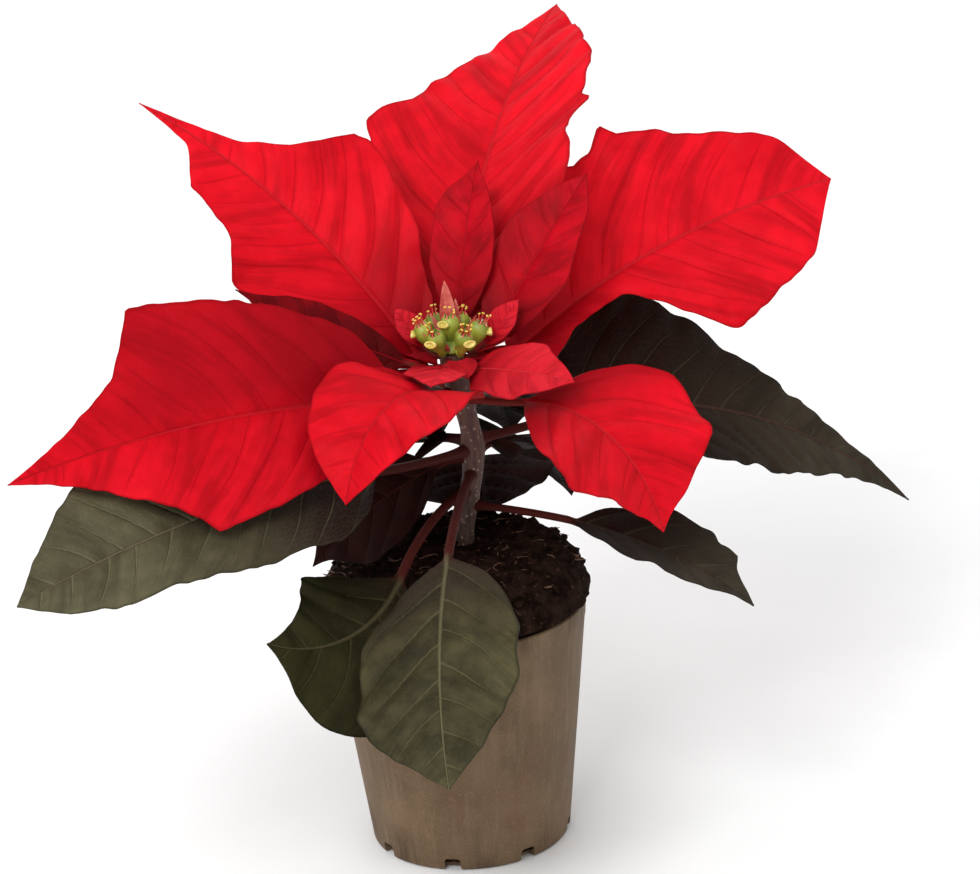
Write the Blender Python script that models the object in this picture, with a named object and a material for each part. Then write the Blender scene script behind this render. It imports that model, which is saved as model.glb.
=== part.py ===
"""Poinsettia in a small tapered plastic pot, modelled at real size in metres.

The origin is the centre of the pot's foot, +Z is up and -Y is the front.
Every bract and leaf is one closed solid: its stalk and its blade, grown as one piece.
Each stands about 0.4 mm clear of the stem, and the stem stands in a hole in the soil.
"""
import random
from math import cos, pi, radians, sin, sqrt

import bmesh
import bpy
import numpy as np
from mathutils import Matrix, Vector, noise

MM = 0.001
GAP = 0.3 * MM

# Pot
POT_HEIGHT = 60 * MM
POT_FOOT_RADIUS = 24 * MM
POT_RIM_RADIUS = 31 * MM
POT_WALL = 1.0 * MM
POT_FLOOR = 1.2 * MM
POT_SIDES = 48
DRAIN_NOTCHES = 8
DRAIN_WIDTH = 4 * MM
DRAIN_HEIGHT = 3 * MM
DRAIN_TURN = radians(-12)

# Soil
SOIL_DOME_RADIUS = 32 * MM
SOIL_DOME_HEIGHT = 14 * MM
SOIL_SIDES = 48
SOIL_ROUGHNESS = 0.7 * MM

# Stem
STEM_RADIUS = 2.5 * MM
STEM_TOP = 122 * MM
STEM_BOTTOM = 30 * MM
STEM_BOW_FROM = 74 * MM
STEM_OFFSET = 3 * MM
STEM_BOW = 3.5 * MM
STEM_SIDES = 14
SEAT_GAP = 0.4 * MM

# Bracts and leaves
BLADE_THICKNESS = 0.8 * MM
STATIONS = (0.0, 0.08, 0.20, 0.34, 0.48, 0.62, 0.76, 0.90, 1.0)

# Flower cluster
CUP_COUNT = 7
CUP_RING = 5.4 * MM

ROOT_NAME = "poinsettia"


def blade(name, kind, seat, heading, stalk, length, rise, left, right, **shape):
    """One bract or leaf. Lengths are in millimetres and angles in degrees.

    seat: height on the stem.  heading: compass turn, 0 is +X and 90 is +Y.
    stalk, length: stalk and blade measured along the midrib.
    rise: slope where the stalk leaves the stem, at the blade's base and at its tip.
    left, right: half-widths at the seven inner stations from base to tip.
    fold, fold_tip: how far the two halves stand up from flat, at base and tip.
    roll: turn about the midrib.  swing: sideways bend of the midrib.
    teeth: pointed lobes as (side, place along the blade, height, root length).
    wave: height of the edge's waves, their number and their start.
    """
    values = dict(name=name, kind=kind, seat=seat, heading=heading, stalk=stalk, length=length)
    values.update(rise=rise, left=left, right=right)
    values.update(fold=10, roll=0, swing=0, twist=0, sweep=0.35, teeth=(), fine=False)
    values.update(wave=(1.2, 3.0, 0.1), stalk_radius=1.1)
    values.update(shape)
    values.setdefault("fold_tip", values["fold"])
    return values


BLADES = (
    blade("bract_back", "bract", 115, 81, 8, 103, (0, 54, 25),
          (12, 22, 29, 29, 23, 14, 5), (8, 19, 27, 24, 26, 19, 8),
          roll=-14, swing=-24, teeth=((-1, 0.52, 4, 0.05), (1, 0.50, 7, 0.16))),
    blade("bract_right", "bract", 113.5, 34, 12, 92, (0, 29, 10),
          (10, 15, 22, 29, 30, 24, 18), (10, 6, 6, 20, 30, 25, 18),
          fold=25, fold_tip=-5, roll=40, swing=-28, sweep=-0.1,
          teeth=((1, 0.40, 9, 0.13), (1, 0.57, 4, 0.05))),
    blade("bract_back_left", "bract", 114, 145, 7, 94, (0, 52, 28),
          (10, 18, 25, 22, 14, 5, 1.6), (8, 14, 21, 23, 14, 5, 1.6),
          fold=22, fold_tip=-3, roll=-34, swing=16, sweep=0.0,
          teeth=((-1, 0.55, 6, 0.16), (1, 0.48, 3, 0.16), (1, 0.75, 7, 0.16))),
    blade("bract_left", "bract", 112.5, 208, 11, 100, (0, 12, -9),
          (11, 20, 25, 24, 19, 11, 4), (15, 22, 26, 24, 17, 9, 3),
          fold=20, roll=-56, teeth=((-1, 0.55, 8, 0.20), (1, 0.50, 5, 0.20))),
    blade("bract_front_left", "bract", 109.5, 237, 4, 54, (0, 48, -71),
          (15, 18, 19, 18, 14, 9, 4), (5, 11, 15, 16, 14, 10, 4),
          fold=12, roll=-10, wave=(0.8, 2.5, 0.3), stalk_radius=0.9),
    blade("bract_front_right", "bract", 111, 324, 15, 51, (0, 11, -72),
          (11, 19, 24, 22, 18, 12, 4), (10, 18, 23, 23, 18, 11, 4),
          fold=8, roll=13, swing=-16, twist=-20, teeth=((1, 0.58, 2, 0.24),), stalk_radius=0.9),
    blade("bract_small_left", "bract", 118.5, 184, 8, 44, (0, 26, 33),
          (7, 8, 8, 7, 6, 4, 1), (3, 5, 6, 6, 5, 3, 1),
          fold=10, roll=-45, wave=(0.4, 2, 0), stalk_radius=0.7, fine=True),
    blade("bract_small_back", "bract", 119, 76, 8, 42, (0, 72, 50),
          (3, 6, 8, 8, 8, 6, 2), (2, 6, 8, 8, 7, 5, 2),
          fold=16, swing=-10, wave=(0.4, 2, 0), stalk_radius=0.7, fine=True),
    blade("bract_small_right", "bract", 117.5, 31, 8, 47, (0, 55, 45),
          (4, 8, 9, 10, 9, 6, 3), (6, 10, 12, 11, 9, 7, 3),
          fold=14, roll=26, wave=(0.4, 2, 0), stalk_radius=0.7, fine=True),
    blade("bract_small_front", "bract", 119, 318, 3, 31, (0, 10, -2),
          (5, 7, 8, 8, 6, 4, 2), (8, 8, 9, 9, 7, 5, 2),
          fold=6, roll=30, wave=(0.4, 2, 0), stalk_radius=0.7, fine=True),
    blade("bract_small_low", "bract", 120.8, 254, 3, 13, (0, 4, -10),
          (4, 6, 7, 6, 5, 3, 1), (5, 7, 8, 7, 5, 3, 1),
          fold=3, wave=(0.3, 2, 0), stalk_radius=0.6, fine=True),
    blade("bract_tiny_right", "bract", 120.5, 8, 6, 13, (0, 50, 52),
          (2, 3, 3.6, 3.6, 3, 2, 1), (2, 3, 3.6, 3.6, 3, 2, 1),
          fold=14, roll=45, wave=(0.1, 1, 0), stalk_radius=0.55, fine=True),
    blade("bract_tiny_left", "bract", 120.8, 152, 5, 11, (0, 50, 52),
          (2, 3, 3.4, 3.4, 2.8, 2, 1), (2, 3, 3.4, 3.4, 2.8, 2, 1),
          fold=14, roll=-30, wave=(0.1, 1, 0), stalk_radius=0.55, fine=True),
    blade("leaf_left", "leaf", 98, 217, 25, 96, (0, 9, -16),
          (14, 20, 20, 18, 16, 14, 8), (13, 20, 23, 23, 20, 14, 6),
          fold=11, roll=-33, swing=-6),
    blade("leaf_front", "leaf", 92, 258, 31, 60, (0, -31, -42),
          (13, 19, 21, 21, 17, 12, 5), (12, 18, 20, 20, 18, 12, 5),
          fold=4, roll=24, swing=18, wave=(0.8, 3, 0.5)),
    blade("leaf_front_left", "leaf", 88, 236, 31, 41, (0, -43, 28),
          (9, 15, 22, 23, 20, 12, 3), (12, 17, 18, 15, 11, 7, 3),
          fold=5, roll=-55, swing=-40, wave=(0.8, 3, 0.2)),
    blade("leaf_right", "leaf", 100, 28, 19, 102, (0, 2, -46),
          (24, 29, 24, 16, 10, 5, 2), (14, 21, 23, 21, 16, 9, 3),
          fold=20, fold_tip=2, roll=32, swing=-24, sweep=0.2),
    blade("leaf_front_right", "leaf", 84, 334, 24, 48, (0, -6, -34),
          (8, 12, 14, 14, 11, 7, 3), (8, 12, 14, 13, 11, 7, 2),
          fold=12, teeth=((1, 0.72, 2, 0.12),), wave=(0.5, 3, 0), stalk_radius=0.9),
    blade("leaf_under", "leaf", 96, 193, 6, 38, (0, -20, -46),
          (8, 12, 15, 15, 12, 7, 2), (8, 13, 15, 15, 12, 7, 2),
          fold=8, roll=-30, wave=(0.6, 2, 0), stalk_radius=0.9, fine=True),
    blade("leaf_back_right", "leaf", 97, 58, 6, 46, (0, -8, -66),
          (11, 15, 18, 18, 14, 9, 3), (12, 18, 20, 19, 15, 10, 3),
          teeth=((1, 0.45, 3, 0.14), (-1, 0.52, 3, 0.14)), fine=True),
    blade("leaf_back_left", "leaf", 99.5, 140, 6, 54, (0, -8, -48),
          (11, 17, 20, 19, 15, 9, 3), (11, 17, 20, 19, 15, 9, 3),
          teeth=((1, 0.50, 3, 0.14),), fine=True),
    blade("leaf_back", "leaf", 94, 88, 5, 34, (0, -30, -62),
          (18, 23, 23, 22, 19, 13, 4), (14, 19, 20, 18, 14, 10, 3),
          teeth=((-1, 0.34, 3, 0.20),), fine=True),
    blade("leaf_back_high", "leaf", 106.5, 78, 5, 48, (0, 3, -62),
          (12, 18, 21, 20, 16, 10, 3), (10, 13, 14, 14, 11, 7, 3), fold=6, fine=True),
)


def material(name, colour, roughness, metallic=0.0):
    """A Principled material, made once per name."""
    found = bpy.data.materials.get(name)
    if found:
        return found
    made = bpy.data.materials.new(name)
    made.use_nodes = True
    shader = made.node_tree.nodes["Principled BSDF"]
    shader.inputs["Base Color"].default_value = (*colour, 1.0)
    shader.inputs["Roughness"].default_value = roughness
    shader.inputs["Metallic"].default_value = metallic
    made.diffuse_color = (*colour, 1.0)
    return made


def bract_material():
    return material("bract_red", (0.72, 0.012, 0.022), 0.45)


def leaf_material():
    return material("leaf_green", (0.035, 0.045, 0.022), 0.5)


def stem_material():
    return material("stem_wood", (0.16, 0.06, 0.035), 0.6)


def bloom_material():
    return material("bloom_green", (0.28, 0.30, 0.03), 0.45)


def soil_material():
    return material("soil_peat", (0.014, 0.008, 0.007), 0.95)


def pot_material():
    return material("pot_plastic", (0.17, 0.10, 0.06), 0.45)


def add_object(name, mesh, look, parent, location=(0, 0, 0), turn=0.0):
    """Link a mesh as a named object, shaded smooth, with its material."""
    mesh.materials.append(look)
    mesh.shade_smooth()
    mesh.set_sharp_from_angle(angle=radians(40))
    thing = bpy.data.objects.new(name, mesh)
    bpy.context.scene.collection.objects.link(thing)
    thing.parent = parent
    thing.location = location
    thing.rotation_euler = (0, 0, turn)
    return thing


def finish_mesh(name, work):
    """Turn a bmesh into a mesh whose faces all point outwards."""
    bmesh.ops.recalc_face_normals(work, faces=work.faces)
    mesh = bpy.data.meshes.new(name)
    work.to_mesh(mesh)
    work.free()
    return mesh


def skin_rings(work, rings, bottom=None, top=None):
    """Join equal rings of points with triangles, and close the ends with fans."""
    rows = [[work.verts.new(point) for point in ring] for ring in rings]
    count = len(rows[0])
    for low, high in zip(rows, rows[1:]):
        for k in range(count):
            n = (k + 1) % count
            work.faces.new((low[k], low[n], high[n]))
            work.faces.new((low[k], high[n], high[k]))
    for row, end, flip in ((rows[0], bottom, True), (rows[-1], top, False)):
        middle = work.verts.new(end)
        for k in range(count):
            n = (k + 1) % count
            corners = (row[n], row[k], middle) if flip else (row[k], row[n], middle)
            work.faces.new(corners)
    return rows


def circle(radius, height, sides, centre=(0.0, 0.0)):
    """A level ring of points."""
    points = []
    for k in range(sides):
        a = 2 * pi * k / sides
        points.append(Vector((centre[0] + radius * cos(a), centre[1] + radius * sin(a), height)))
    return points


def smooth_step(x):
    x = min(max(x, 0.0), 1.0)
    return x * x * (3 - 2 * x)


def pot_radius(height):
    """Outer radius of the tapered pot."""
    return POT_FOOT_RADIUS + (POT_RIM_RADIUS - POT_FOOT_RADIUS) * height / POT_HEIGHT


def stem_x(height):
    """The stem stands upright in the soil, then bows gently to the right and back."""
    t = (height - STEM_BOW_FROM) / (STEM_TOP - STEM_BOW_FROM)
    return STEM_OFFSET + (STEM_BOW * sin(pi * t) ** 2 if 0 < t < 1 else 0.0)


def build_pot(parent):
    """A thin tapered shell with a rounded rim and drain notches round its foot."""
    edge = 0.3 * MM
    outer = [(pot_radius(0) - edge, 0.0), (pot_radius(edge), edge)]
    outer += [(pot_radius(h * MM), h * MM) for h in (15, 30, 45)]
    outer += [(POT_RIM_RADIUS, POT_HEIGHT - edge), (POT_RIM_RADIUS - edge, POT_HEIGHT)]
    rim_inner = POT_RIM_RADIUS - POT_WALL
    inner = [(rim_inner + 0.1 * MM, POT_HEIGHT), (rim_inner, POT_HEIGHT - edge)]
    inner += [(pot_radius(h * MM) - POT_WALL, h * MM) for h in (45, 30, 15)]
    inner += [(pot_radius(POT_FLOOR) - POT_WALL, POT_FLOOR)]
    work = bmesh.new()
    rings = [circle(r, z, POT_SIDES) for r, z in outer + inner]
    skin_rings(work, rings, (0, 0, 0), (0, 0, POT_FLOOR))
    pot = add_object("pot", finish_mesh("pot", work), pot_material(), parent)
    cut = bmesh.new()
    for k in range(DRAIN_NOTCHES):
        turn = DRAIN_TURN + 2 * pi * k / DRAIN_NOTCHES
        place = Matrix.Rotation(turn, 4, "Z") @ Matrix.Translation((POT_FOOT_RADIUS, 0, DRAIN_HEIGHT / 2 - MM))
        size = Matrix.Diagonal((5 * MM, DRAIN_WIDTH, DRAIN_HEIGHT + 2 * MM, 1))
        bmesh.ops.create_cube(cut, size=1.0, matrix=place @ size)
    cutter = add_object("drain_cutter", finish_mesh("drain_cutter", cut), pot_material(), parent)
    cutter.hide_render = True
    cutter.display_type = "WIRE"
    notches = pot.modifiers.new("drain notches", "BOOLEAN")
    notches.operation = "DIFFERENCE"
    notches.object = cutter
    notches.solver = "EXACT"
    return pot


def soil_lump(x, y, z):
    """Height of the crumbs on the mound."""
    place = Vector((x, y, z)) / (5 * MM)
    fine = Vector((x, y, z)) / (2.2 * MM)
    return SOIL_ROUGHNESS * (1.2 * noise.noise(place) + 0.7 * noise.noise(fine))


def build_soil(parent):
    """Peat that fills the pot, mounds up over the rim and has a plain hole for the stem."""
    rings = []
    foot = POT_FLOOR + GAP
    for height in (foot, 12 * MM, 24 * MM, 36 * MM, 48 * MM, POT_HEIGHT + GAP):
        radius = pot_radius(min(height, POT_HEIGHT)) - POT_WALL - GAP - 0.1 * MM
        rings.append(circle(radius, height, SOIL_SIDES))
    base = POT_HEIGHT + GAP
    shares = (0.985, 1.0, 0.99, 0.965, 0.93, 0.88, 0.81, 0.72, 0.61, 0.49, 0.37, 0.26, 0.17)
    for row, share in enumerate(shares):
        centre = STEM_OFFSET * smooth_step((0.9 - share) / 0.7)
        if row == 0:
            height = base
        elif row == 1:
            height = base + 1.2 * MM
        else:
            height = base + SOIL_DOME_HEIGHT * sqrt(1 - share ** 5)
        ring = circle(SOIL_DOME_RADIUS * share, height, SOIL_SIDES, (centre, 0.0))
        for point in ring:
            if row > 0:
                lump = soil_lump(*point)
                out = Vector((point.x - centre, point.y, 0)).normalized()
                steep = smooth_step((share - 0.75) / 0.2)
                point += out * lump * steep
                point.z += lump * (1 - steep) + 0.3 * MM * (row > 1)
        rings.append(ring)
    hole = STEM_RADIUS + GAP + 0.1 * MM
    rings.append(circle(hole, base + SOIL_DOME_HEIGHT - 0.5 * MM, SOIL_SIDES, (STEM_OFFSET, 0)))
    rings.append(circle(hole, STEM_BOTTOM - GAP, SOIL_SIDES, (STEM_OFFSET, 0)))
    work = bmesh.new()
    skin_rings(work, rings, (0, 0, foot), (STEM_OFFSET, 0, STEM_BOTTOM - GAP))
    return add_object("soil", finish_mesh("soil", work), soil_material(), parent)


def build_stem(parent):
    """One woody shoot, a little swollen just under the flowers."""
    heights = np.arange(STEM_BOTTOM, STEM_TOP - 0.1 * MM, 4 * MM).tolist()
    heights += [STEM_TOP - 0.6 * MM, STEM_TOP]
    rings = []
    for height in heights:
        radius = STEM_RADIUS - (0.3 * MM if height == STEM_TOP else 0.0)
        rings.append(circle(radius, height, STEM_SIDES, (stem_x(height), 0.0)))
    work = bmesh.new()
    skin_rings(work, rings, (stem_x(STEM_BOTTOM), 0, STEM_BOTTOM), (stem_x(STEM_TOP), 0, STEM_TOP))
    return add_object("stem", finish_mesh("stem", work), stem_material(), parent)


def curve_through(xs, ys, x):
    """Smooth curve through points that never overshoots them."""
    xs = np.asarray(xs, float)
    ys = np.asarray(ys, float)
    x = np.asarray(x, float)
    h = np.diff(xs)
    m = np.diff(ys) / h
    d = np.zeros_like(ys)
    for i in range(1, len(xs) - 1):
        if m[i - 1] * m[i] > 0:
            a = 2 * h[i] + h[i - 1]
            b = h[i] + 2 * h[i - 1]
            d[i] = (a + b) / (a / m[i - 1] + b / m[i])
    d[0] = m[0]
    d[-1] = m[-1]
    i = np.clip(np.searchsorted(xs, x) - 1, 0, len(h) - 1)
    t = (x - xs[i]) / h[i]
    value = (2 * t ** 3 - 3 * t ** 2 + 1) * ys[i] + (t ** 3 - 2 * t ** 2 + t) * h[i] * d[i]
    return value + (-2 * t ** 3 + 3 * t ** 2) * ys[i + 1] + (t ** 3 - t ** 2) * h[i] * d[i + 1]


def half_width(leaf, s, side):
    """Half-width of the blade in millimetres on one side, teeth included."""
    inner = leaf["left"] if side > 0 else leaf["right"]
    width = curve_through(STATIONS, (0.0, *inner, 0.0), s)
    for tooth_side, at, height, root in leaf["teeth"]:
        if tooth_side == side:
            rising = np.clip(1 - (at - s) / root, 0, 1) * (s <= at)
            falling = np.clip(1 - (s - at) / (0.55 * root), 0, 1) * (s > at)
            width = width + height * (rising + falling) ** 1.25
    return width


def midrib(leaf, s):
    """Points and directions along stalk (s from -1 to 0) and midrib (s from 0 to 1)."""
    steps = 160
    fine = np.concatenate([np.linspace(-1, 0, steps + 1)[:-1], np.linspace(0, 1, steps + 1)])
    span = np.where(fine[:-1] < 0, leaf["stalk"] / steps, leaf["length"] / steps)

    def angles(at):
        first, base, tip = leaf["rise"]
        stalk = np.clip(at + 1, 0, 1)
        along = np.clip(at, 0, 1)
        pitch = np.where(at < 0, first + (base - first) * stalk, base + (tip - base) * along)
        roll = leaf["roll"] * stalk + leaf["twist"] * along
        return np.radians(pitch), np.radians(leaf["swing"] * along), np.radians(roll)

    pitch, yaw, roll = angles((fine[:-1] + fine[1:]) / 2)
    way = np.stack([np.cos(pitch) * np.cos(yaw), np.cos(pitch) * np.sin(yaw), np.sin(pitch)], -1)
    path = np.vstack([np.zeros(3), np.cumsum(way * span[:, None], axis=0)])
    point = np.stack([np.interp(s, fine, path[:, k]) for k in range(3)], -1)
    pitch, yaw, roll = angles(s)
    way = np.stack([np.cos(pitch) * np.cos(yaw), np.cos(pitch) * np.sin(yaw), np.sin(pitch)], -1)
    level = np.stack([-np.sin(yaw), np.cos(yaw), 0 * yaw], -1)
    above = np.cross(way, level)
    across = level * np.cos(roll)[:, None] + above * np.sin(roll)[:, None]
    normal = -level * np.sin(roll)[:, None] + above * np.cos(roll)[:, None]
    return point, way, across, normal


def blade_rows(leaf):
    """Places along the blade where it gets a row of points."""
    if leaf["fine"]:
        rows = [0.0, 0.06, 0.14, 0.24, 0.36, 0.48, 0.60, 0.72, 0.84, 0.95]
    else:
        rows = [0.0, 0.04, 0.10, 0.18, 0.26, 0.34, 0.42, 0.50, 0.58, 0.66, 0.74, 0.82, 0.90, 0.96]
    extra = []
    for side, at, height, root in leaf["teeth"]:
        extra += [at, at + 0.55 * root]
    if leaf["left"][-1] > 8:
        extra += [0.985]
    rows = [r for r in rows if all(abs(r - e) > 0.025 for e in extra)]
    return np.array(sorted(set(rows + [round(e, 4) for e in extra])))


def blade_point(leaf, frame, row, s, side, y, lift_share):
    """A point of the blade's middle surface, y millimetres out from the midrib."""
    point, way, across, normal = (part[row] for part in frame)
    wide = max(max(leaf["left"]), max(leaf["right"]))
    fold = radians(leaf["fold"] + (leaf["fold_tip"] - leaf["fold"]) * s) * lift_share
    height, count, start = leaf["wave"]
    phase = count * s + start + (0.37 if side > 0 else 0.0)
    lift = y * sin(fold) + lift_share * height * (y / wide) ** 2 * sin(2 * pi * phase)
    return point + leaf["sweep"] * lift_share * y * way + side * y * cos(fold) * across + lift * normal


def build_blade(leaf, parent):
    """Closed solid of one bract or leaf, thin at the blade and round at the stalk."""
    columns = 2 if leaf["fine"] else 3
    share = (0.0, 0.5, 1.0) if leaf["fine"] else (0.0, 0.25, 0.65, 1.0)
    stalk_rows = np.array([-1.0, -0.66, -0.33]) if leaf["fine"] else np.array([-1.0, -0.75, -0.5, -0.25])
    rows = np.concatenate([stalk_rows, blade_rows(leaf)])
    frame = midrib(leaf, rows)
    radius = leaf["stalk_radius"]
    half = BLADE_THICKNESS / MM / 2
    widths = {side: half_width(leaf, np.clip(rows, 0, 1), side) for side in (-1, 1)}
    rings = []
    for row, s in enumerate(rows):
        blend = smooth_step((s + 0.02) / 0.07)
        rib = max(0.0, (radius - half) * (1 - max(s, 0)) * 0.9) * blend
        upper = []
        lower = []
        for k in range(-columns, columns + 1):
            side = 1 if k > 0 else -1
            turn = pi / 2 * abs(k) / columns
            out = max(widths[side][row], 0.9 * radius if s < 0.1 else 0.5)
            y = (1 - blend) * radius * sin(turn) + blend * out * share[abs(k)]
            middle = blade_point(leaf, frame, row, max(s, 0.0), side, y, blend)
            thick = (1 - blend) * max(radius * cos(turn), 0.12) + blend * half
            normal = frame[3][row]
            upper.append(Vector((middle + thick * normal) * MM))
            lower.append(Vector((middle - (thick + (rib if k == 0 else 0.0)) * normal) * MM))
        rings.append(upper + lower[::-1])
    tip = midrib(leaf, np.array([1.0]))[0][0]
    start = midrib(leaf, np.array([-1.0]))[0][0]
    work = bmesh.new()
    count = 2 * columns + 1
    verts = [[work.verts.new(point) for point in ring] for ring in rings]
    for near, far in zip(verts, verts[1:]):
        for k in range(count - 1):
            # the same diagonal on both faces, so that they stay parallel
            a, b, c, d = near[k], near[k + 1], far[k + 1], far[k]
            work.faces.new((a, c, b))
            work.faces.new((a, d, c))
            e, f = near[2 * count - 1 - k], near[2 * count - 2 - k]
            g, h = far[2 * count - 2 - k], far[2 * count - 1 - k]
            work.faces.new((e, f, g))
            work.faces.new((e, g, h))
        for one, two in ((count - 1, count), (2 * count - 1, 0)):
            work.faces.new((near[one], near[two], far[two]))
            work.faces.new((near[one], far[two], far[one]))
    for row, end in ((verts[0], start), (verts[-1], tip)):
        middle = work.verts.new(Vector(end * MM))
        for k in range(2 * count):
            work.faces.new((row[k], row[(k + 1) % (2 * count)], middle))
    look = bract_material() if leaf["kind"] == "bract" else leaf_material()
    height = leaf["seat"] * MM
    turn = radians(leaf["heading"])
    reach = STEM_RADIUS + SEAT_GAP
    place = (stem_x(height) + reach * cos(turn), reach * sin(turn), height)
    return add_object(leaf["name"], finish_mesh(leaf["name"], work), look, parent, place, turn)


def add_lathe(group, name, profile, sides, place):
    """A closed turned piece, linked to a collection for the union."""
    work = bmesh.new()
    rings = [circle(r * MM, z * MM, sides) for r, z in profile]
    low = profile[0][1] * MM
    high = profile[-1][1] * MM
    skin_rings(work, rings, (0, 0, low), (0, 0, high))
    mesh = finish_mesh(name, work)
    mesh.transform(place)
    thing = bpy.data.objects.new(name, mesh)
    group.objects.link(thing)
    return thing


def build_bloom(parent):
    """The flower cluster: small cups on one head, each with a yellow lip and stamens."""
    rng = random.Random(12)
    group = bpy.data.collections.new("bloom_pieces")
    bpy.context.scene.collection.children.link(group)
    centre = Vector((stem_x(STEM_TOP), 0, STEM_TOP + GAP))
    head = [(2.4, 0.0), (3.0, 0.6), (2.6, 1.6), (1.4, 2.6)]
    base = add_lathe(group, "bloom", head, 12, Matrix.Translation(centre))
    cup = [(0.8, -2.6), (1.2, -0.2), (2.2, 1.8), (2.15, 3.3), (1.6, 4.3), (1.1, 3.9)]
    stamen = [(0.25, -1.0), (0.38, 1.1), (0.30, 1.6)]
    for k in range(CUP_COUNT):
        ring_turn = 2 * pi * k / (CUP_COUNT - 1) + rng.uniform(-0.15, 0.15)
        reach = 0.0 if k == CUP_COUNT - 1 else CUP_RING * rng.uniform(0.93, 1.07)
        lean = 0.0 if k == CUP_COUNT - 1 else radians(rng.uniform(20, 28))
        rise = (4.2 if reach == 0.0 else 2.6) * MM + rng.uniform(0, 0.5) * MM
        spot = centre + Vector((reach * cos(ring_turn), reach * sin(ring_turn), rise))
        place = Matrix.Translation(spot) @ Matrix.Rotation(ring_turn, 4, "Z") @ Matrix.Rotation(lean, 4, "Y")
        add_lathe(group, "cup", cup, 10, place)
        if reach:
            foot = Matrix.Translation(centre + Vector((0, 0, 1.4 * MM)))
            away = (spot - foot.translation).normalized()
            turn = away.to_track_quat("Z", "Y").to_matrix().to_4x4()
            add_lathe(group, "stalk", [(0.9, -0.5), (0.9, (spot - foot.translation).length / MM)], 8, foot @ turn)
        lip = [(0.35, -0.7), (0.8, -0.2), (0.8, 0.3), (0.35, 0.7)]
        shape = Matrix.Translation((2.15 * MM, 0, 3.5 * MM)) @ Matrix.Diagonal((1.1, 1.9, 1.0, 1))
        add_lathe(group, "lip", lip, 7, place @ shape)
        for j in range(4):
            a = 2 * pi * j / 4 + k
            spread = Matrix.Translation((0.62 * MM * cos(a), 0.62 * MM * sin(a), 4.2 * MM))
            tilt = Matrix.Rotation(a, 4, "Z") @ Matrix.Rotation(radians(14), 4, "Y")
            add_lathe(group, "stamen", stamen, 4, place @ spread @ tilt)
    group.objects.unlink(base)
    bpy.context.scene.collection.objects.link(base)
    join = base.modifiers.new("join", "BOOLEAN")
    join.operation = "UNION"
    join.operand_type = "COLLECTION"
    join.collection = group
    join.solver = "EXACT"
    bpy.context.view_layer.update()
    seen = base.evaluated_get(bpy.context.evaluated_depsgraph_get())
    joined = bpy.data.meshes.new_from_object(seen)
    base.modifiers.clear()
    for piece in list(group.objects) + [base]:
        bpy.data.objects.remove(piece, do_unlink=True)
    bpy.data.collections.remove(group)
    work = bmesh.new()
    work.from_mesh(joined)
    bmesh.ops.triangulate(work, faces=work.faces)
    return add_object("bloom", finish_mesh("bloom", work), bloom_material(), parent)


def build_all():
    for thing in list(bpy.data.objects):
        bpy.data.objects.remove(thing, do_unlink=True)
    root = bpy.data.objects.new(ROOT_NAME, None)
    bpy.context.scene.collection.objects.link(root)
    build_pot(root)
    build_soil(root)
    build_stem(root)
    for leaf in BLADES:
        build_blade(leaf, root)
    build_bloom(root)


build_all()
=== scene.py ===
"""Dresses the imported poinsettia: veined bracts and leaves, flower cups, peat, pot, light and camera.

Lengths are in metres, but in millimetres in the blade code and where a name or comment says so.
"""

import random
from math import cos, pi, radians, sin, sqrt

import bmesh
import bpy
import numpy as np
from mathutils import Matrix, Vector, noise


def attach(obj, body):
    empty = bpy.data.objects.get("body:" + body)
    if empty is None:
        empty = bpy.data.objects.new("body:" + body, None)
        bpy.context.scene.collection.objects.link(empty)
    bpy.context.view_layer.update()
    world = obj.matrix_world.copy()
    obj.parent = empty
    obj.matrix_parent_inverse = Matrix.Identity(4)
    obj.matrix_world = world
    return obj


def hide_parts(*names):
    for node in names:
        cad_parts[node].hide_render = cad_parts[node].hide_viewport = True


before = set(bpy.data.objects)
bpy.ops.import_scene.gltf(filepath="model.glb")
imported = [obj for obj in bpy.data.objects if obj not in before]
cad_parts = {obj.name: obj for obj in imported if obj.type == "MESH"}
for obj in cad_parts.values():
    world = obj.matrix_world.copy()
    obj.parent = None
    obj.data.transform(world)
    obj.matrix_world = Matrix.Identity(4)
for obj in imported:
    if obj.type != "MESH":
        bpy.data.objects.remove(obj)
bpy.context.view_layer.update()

MM = 0.001

# Pot
POT_HEIGHT = 60 * MM
POT_FOOT_RADIUS = 24 * MM
POT_RIM_RADIUS = 31 * MM
POT_WALL = 1.0 * MM
POT_FLOOR = 1.2 * MM
DRAIN_NOTCHES = 8
DRAIN_WIDTH = 4 * MM
DRAIN_HEIGHT = 3 * MM
DRAIN_TURN = radians(-12)

# Soil
SOIL_DOME_RADIUS = 32 * MM
SOIL_DOME_HEIGHT = 14 * MM
SOIL_GAP = 0.3 * MM
CRUMBS = 520
FIBRES = 110

# Stem
STEM_RADIUS = 2.5 * MM
STEM_TOP = 122 * MM
STEM_BOTTOM = 30 * MM
STEM_BOW_FROM = 74 * MM
STEM_OFFSET = 3 * MM
STEM_BOW = 3.5 * MM
SEAT_GAP = 0.4 * MM
BARK_RADIUS_MM = 2.35
BARK_RADIUS_MOST_MM = 2.95
BARK_RIDGES_MM = 0.14
SCAR_RING_MM, SCAR_SWELL_MM, SCAR_SPREAD_MM = 0.07, 0.42, 2.2

# Young leaves behind the stalks, a little off the stem, near-black with painted shade:
# turn in degrees, then height, reach, drop and half-width in millimetres
YOUNG_LEAVES = ((140, 108, 9, 10.5, 5.6), (50, 98, 13, 8, 5.6), (165, 100, 15, 7.5, 5.6))

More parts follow.
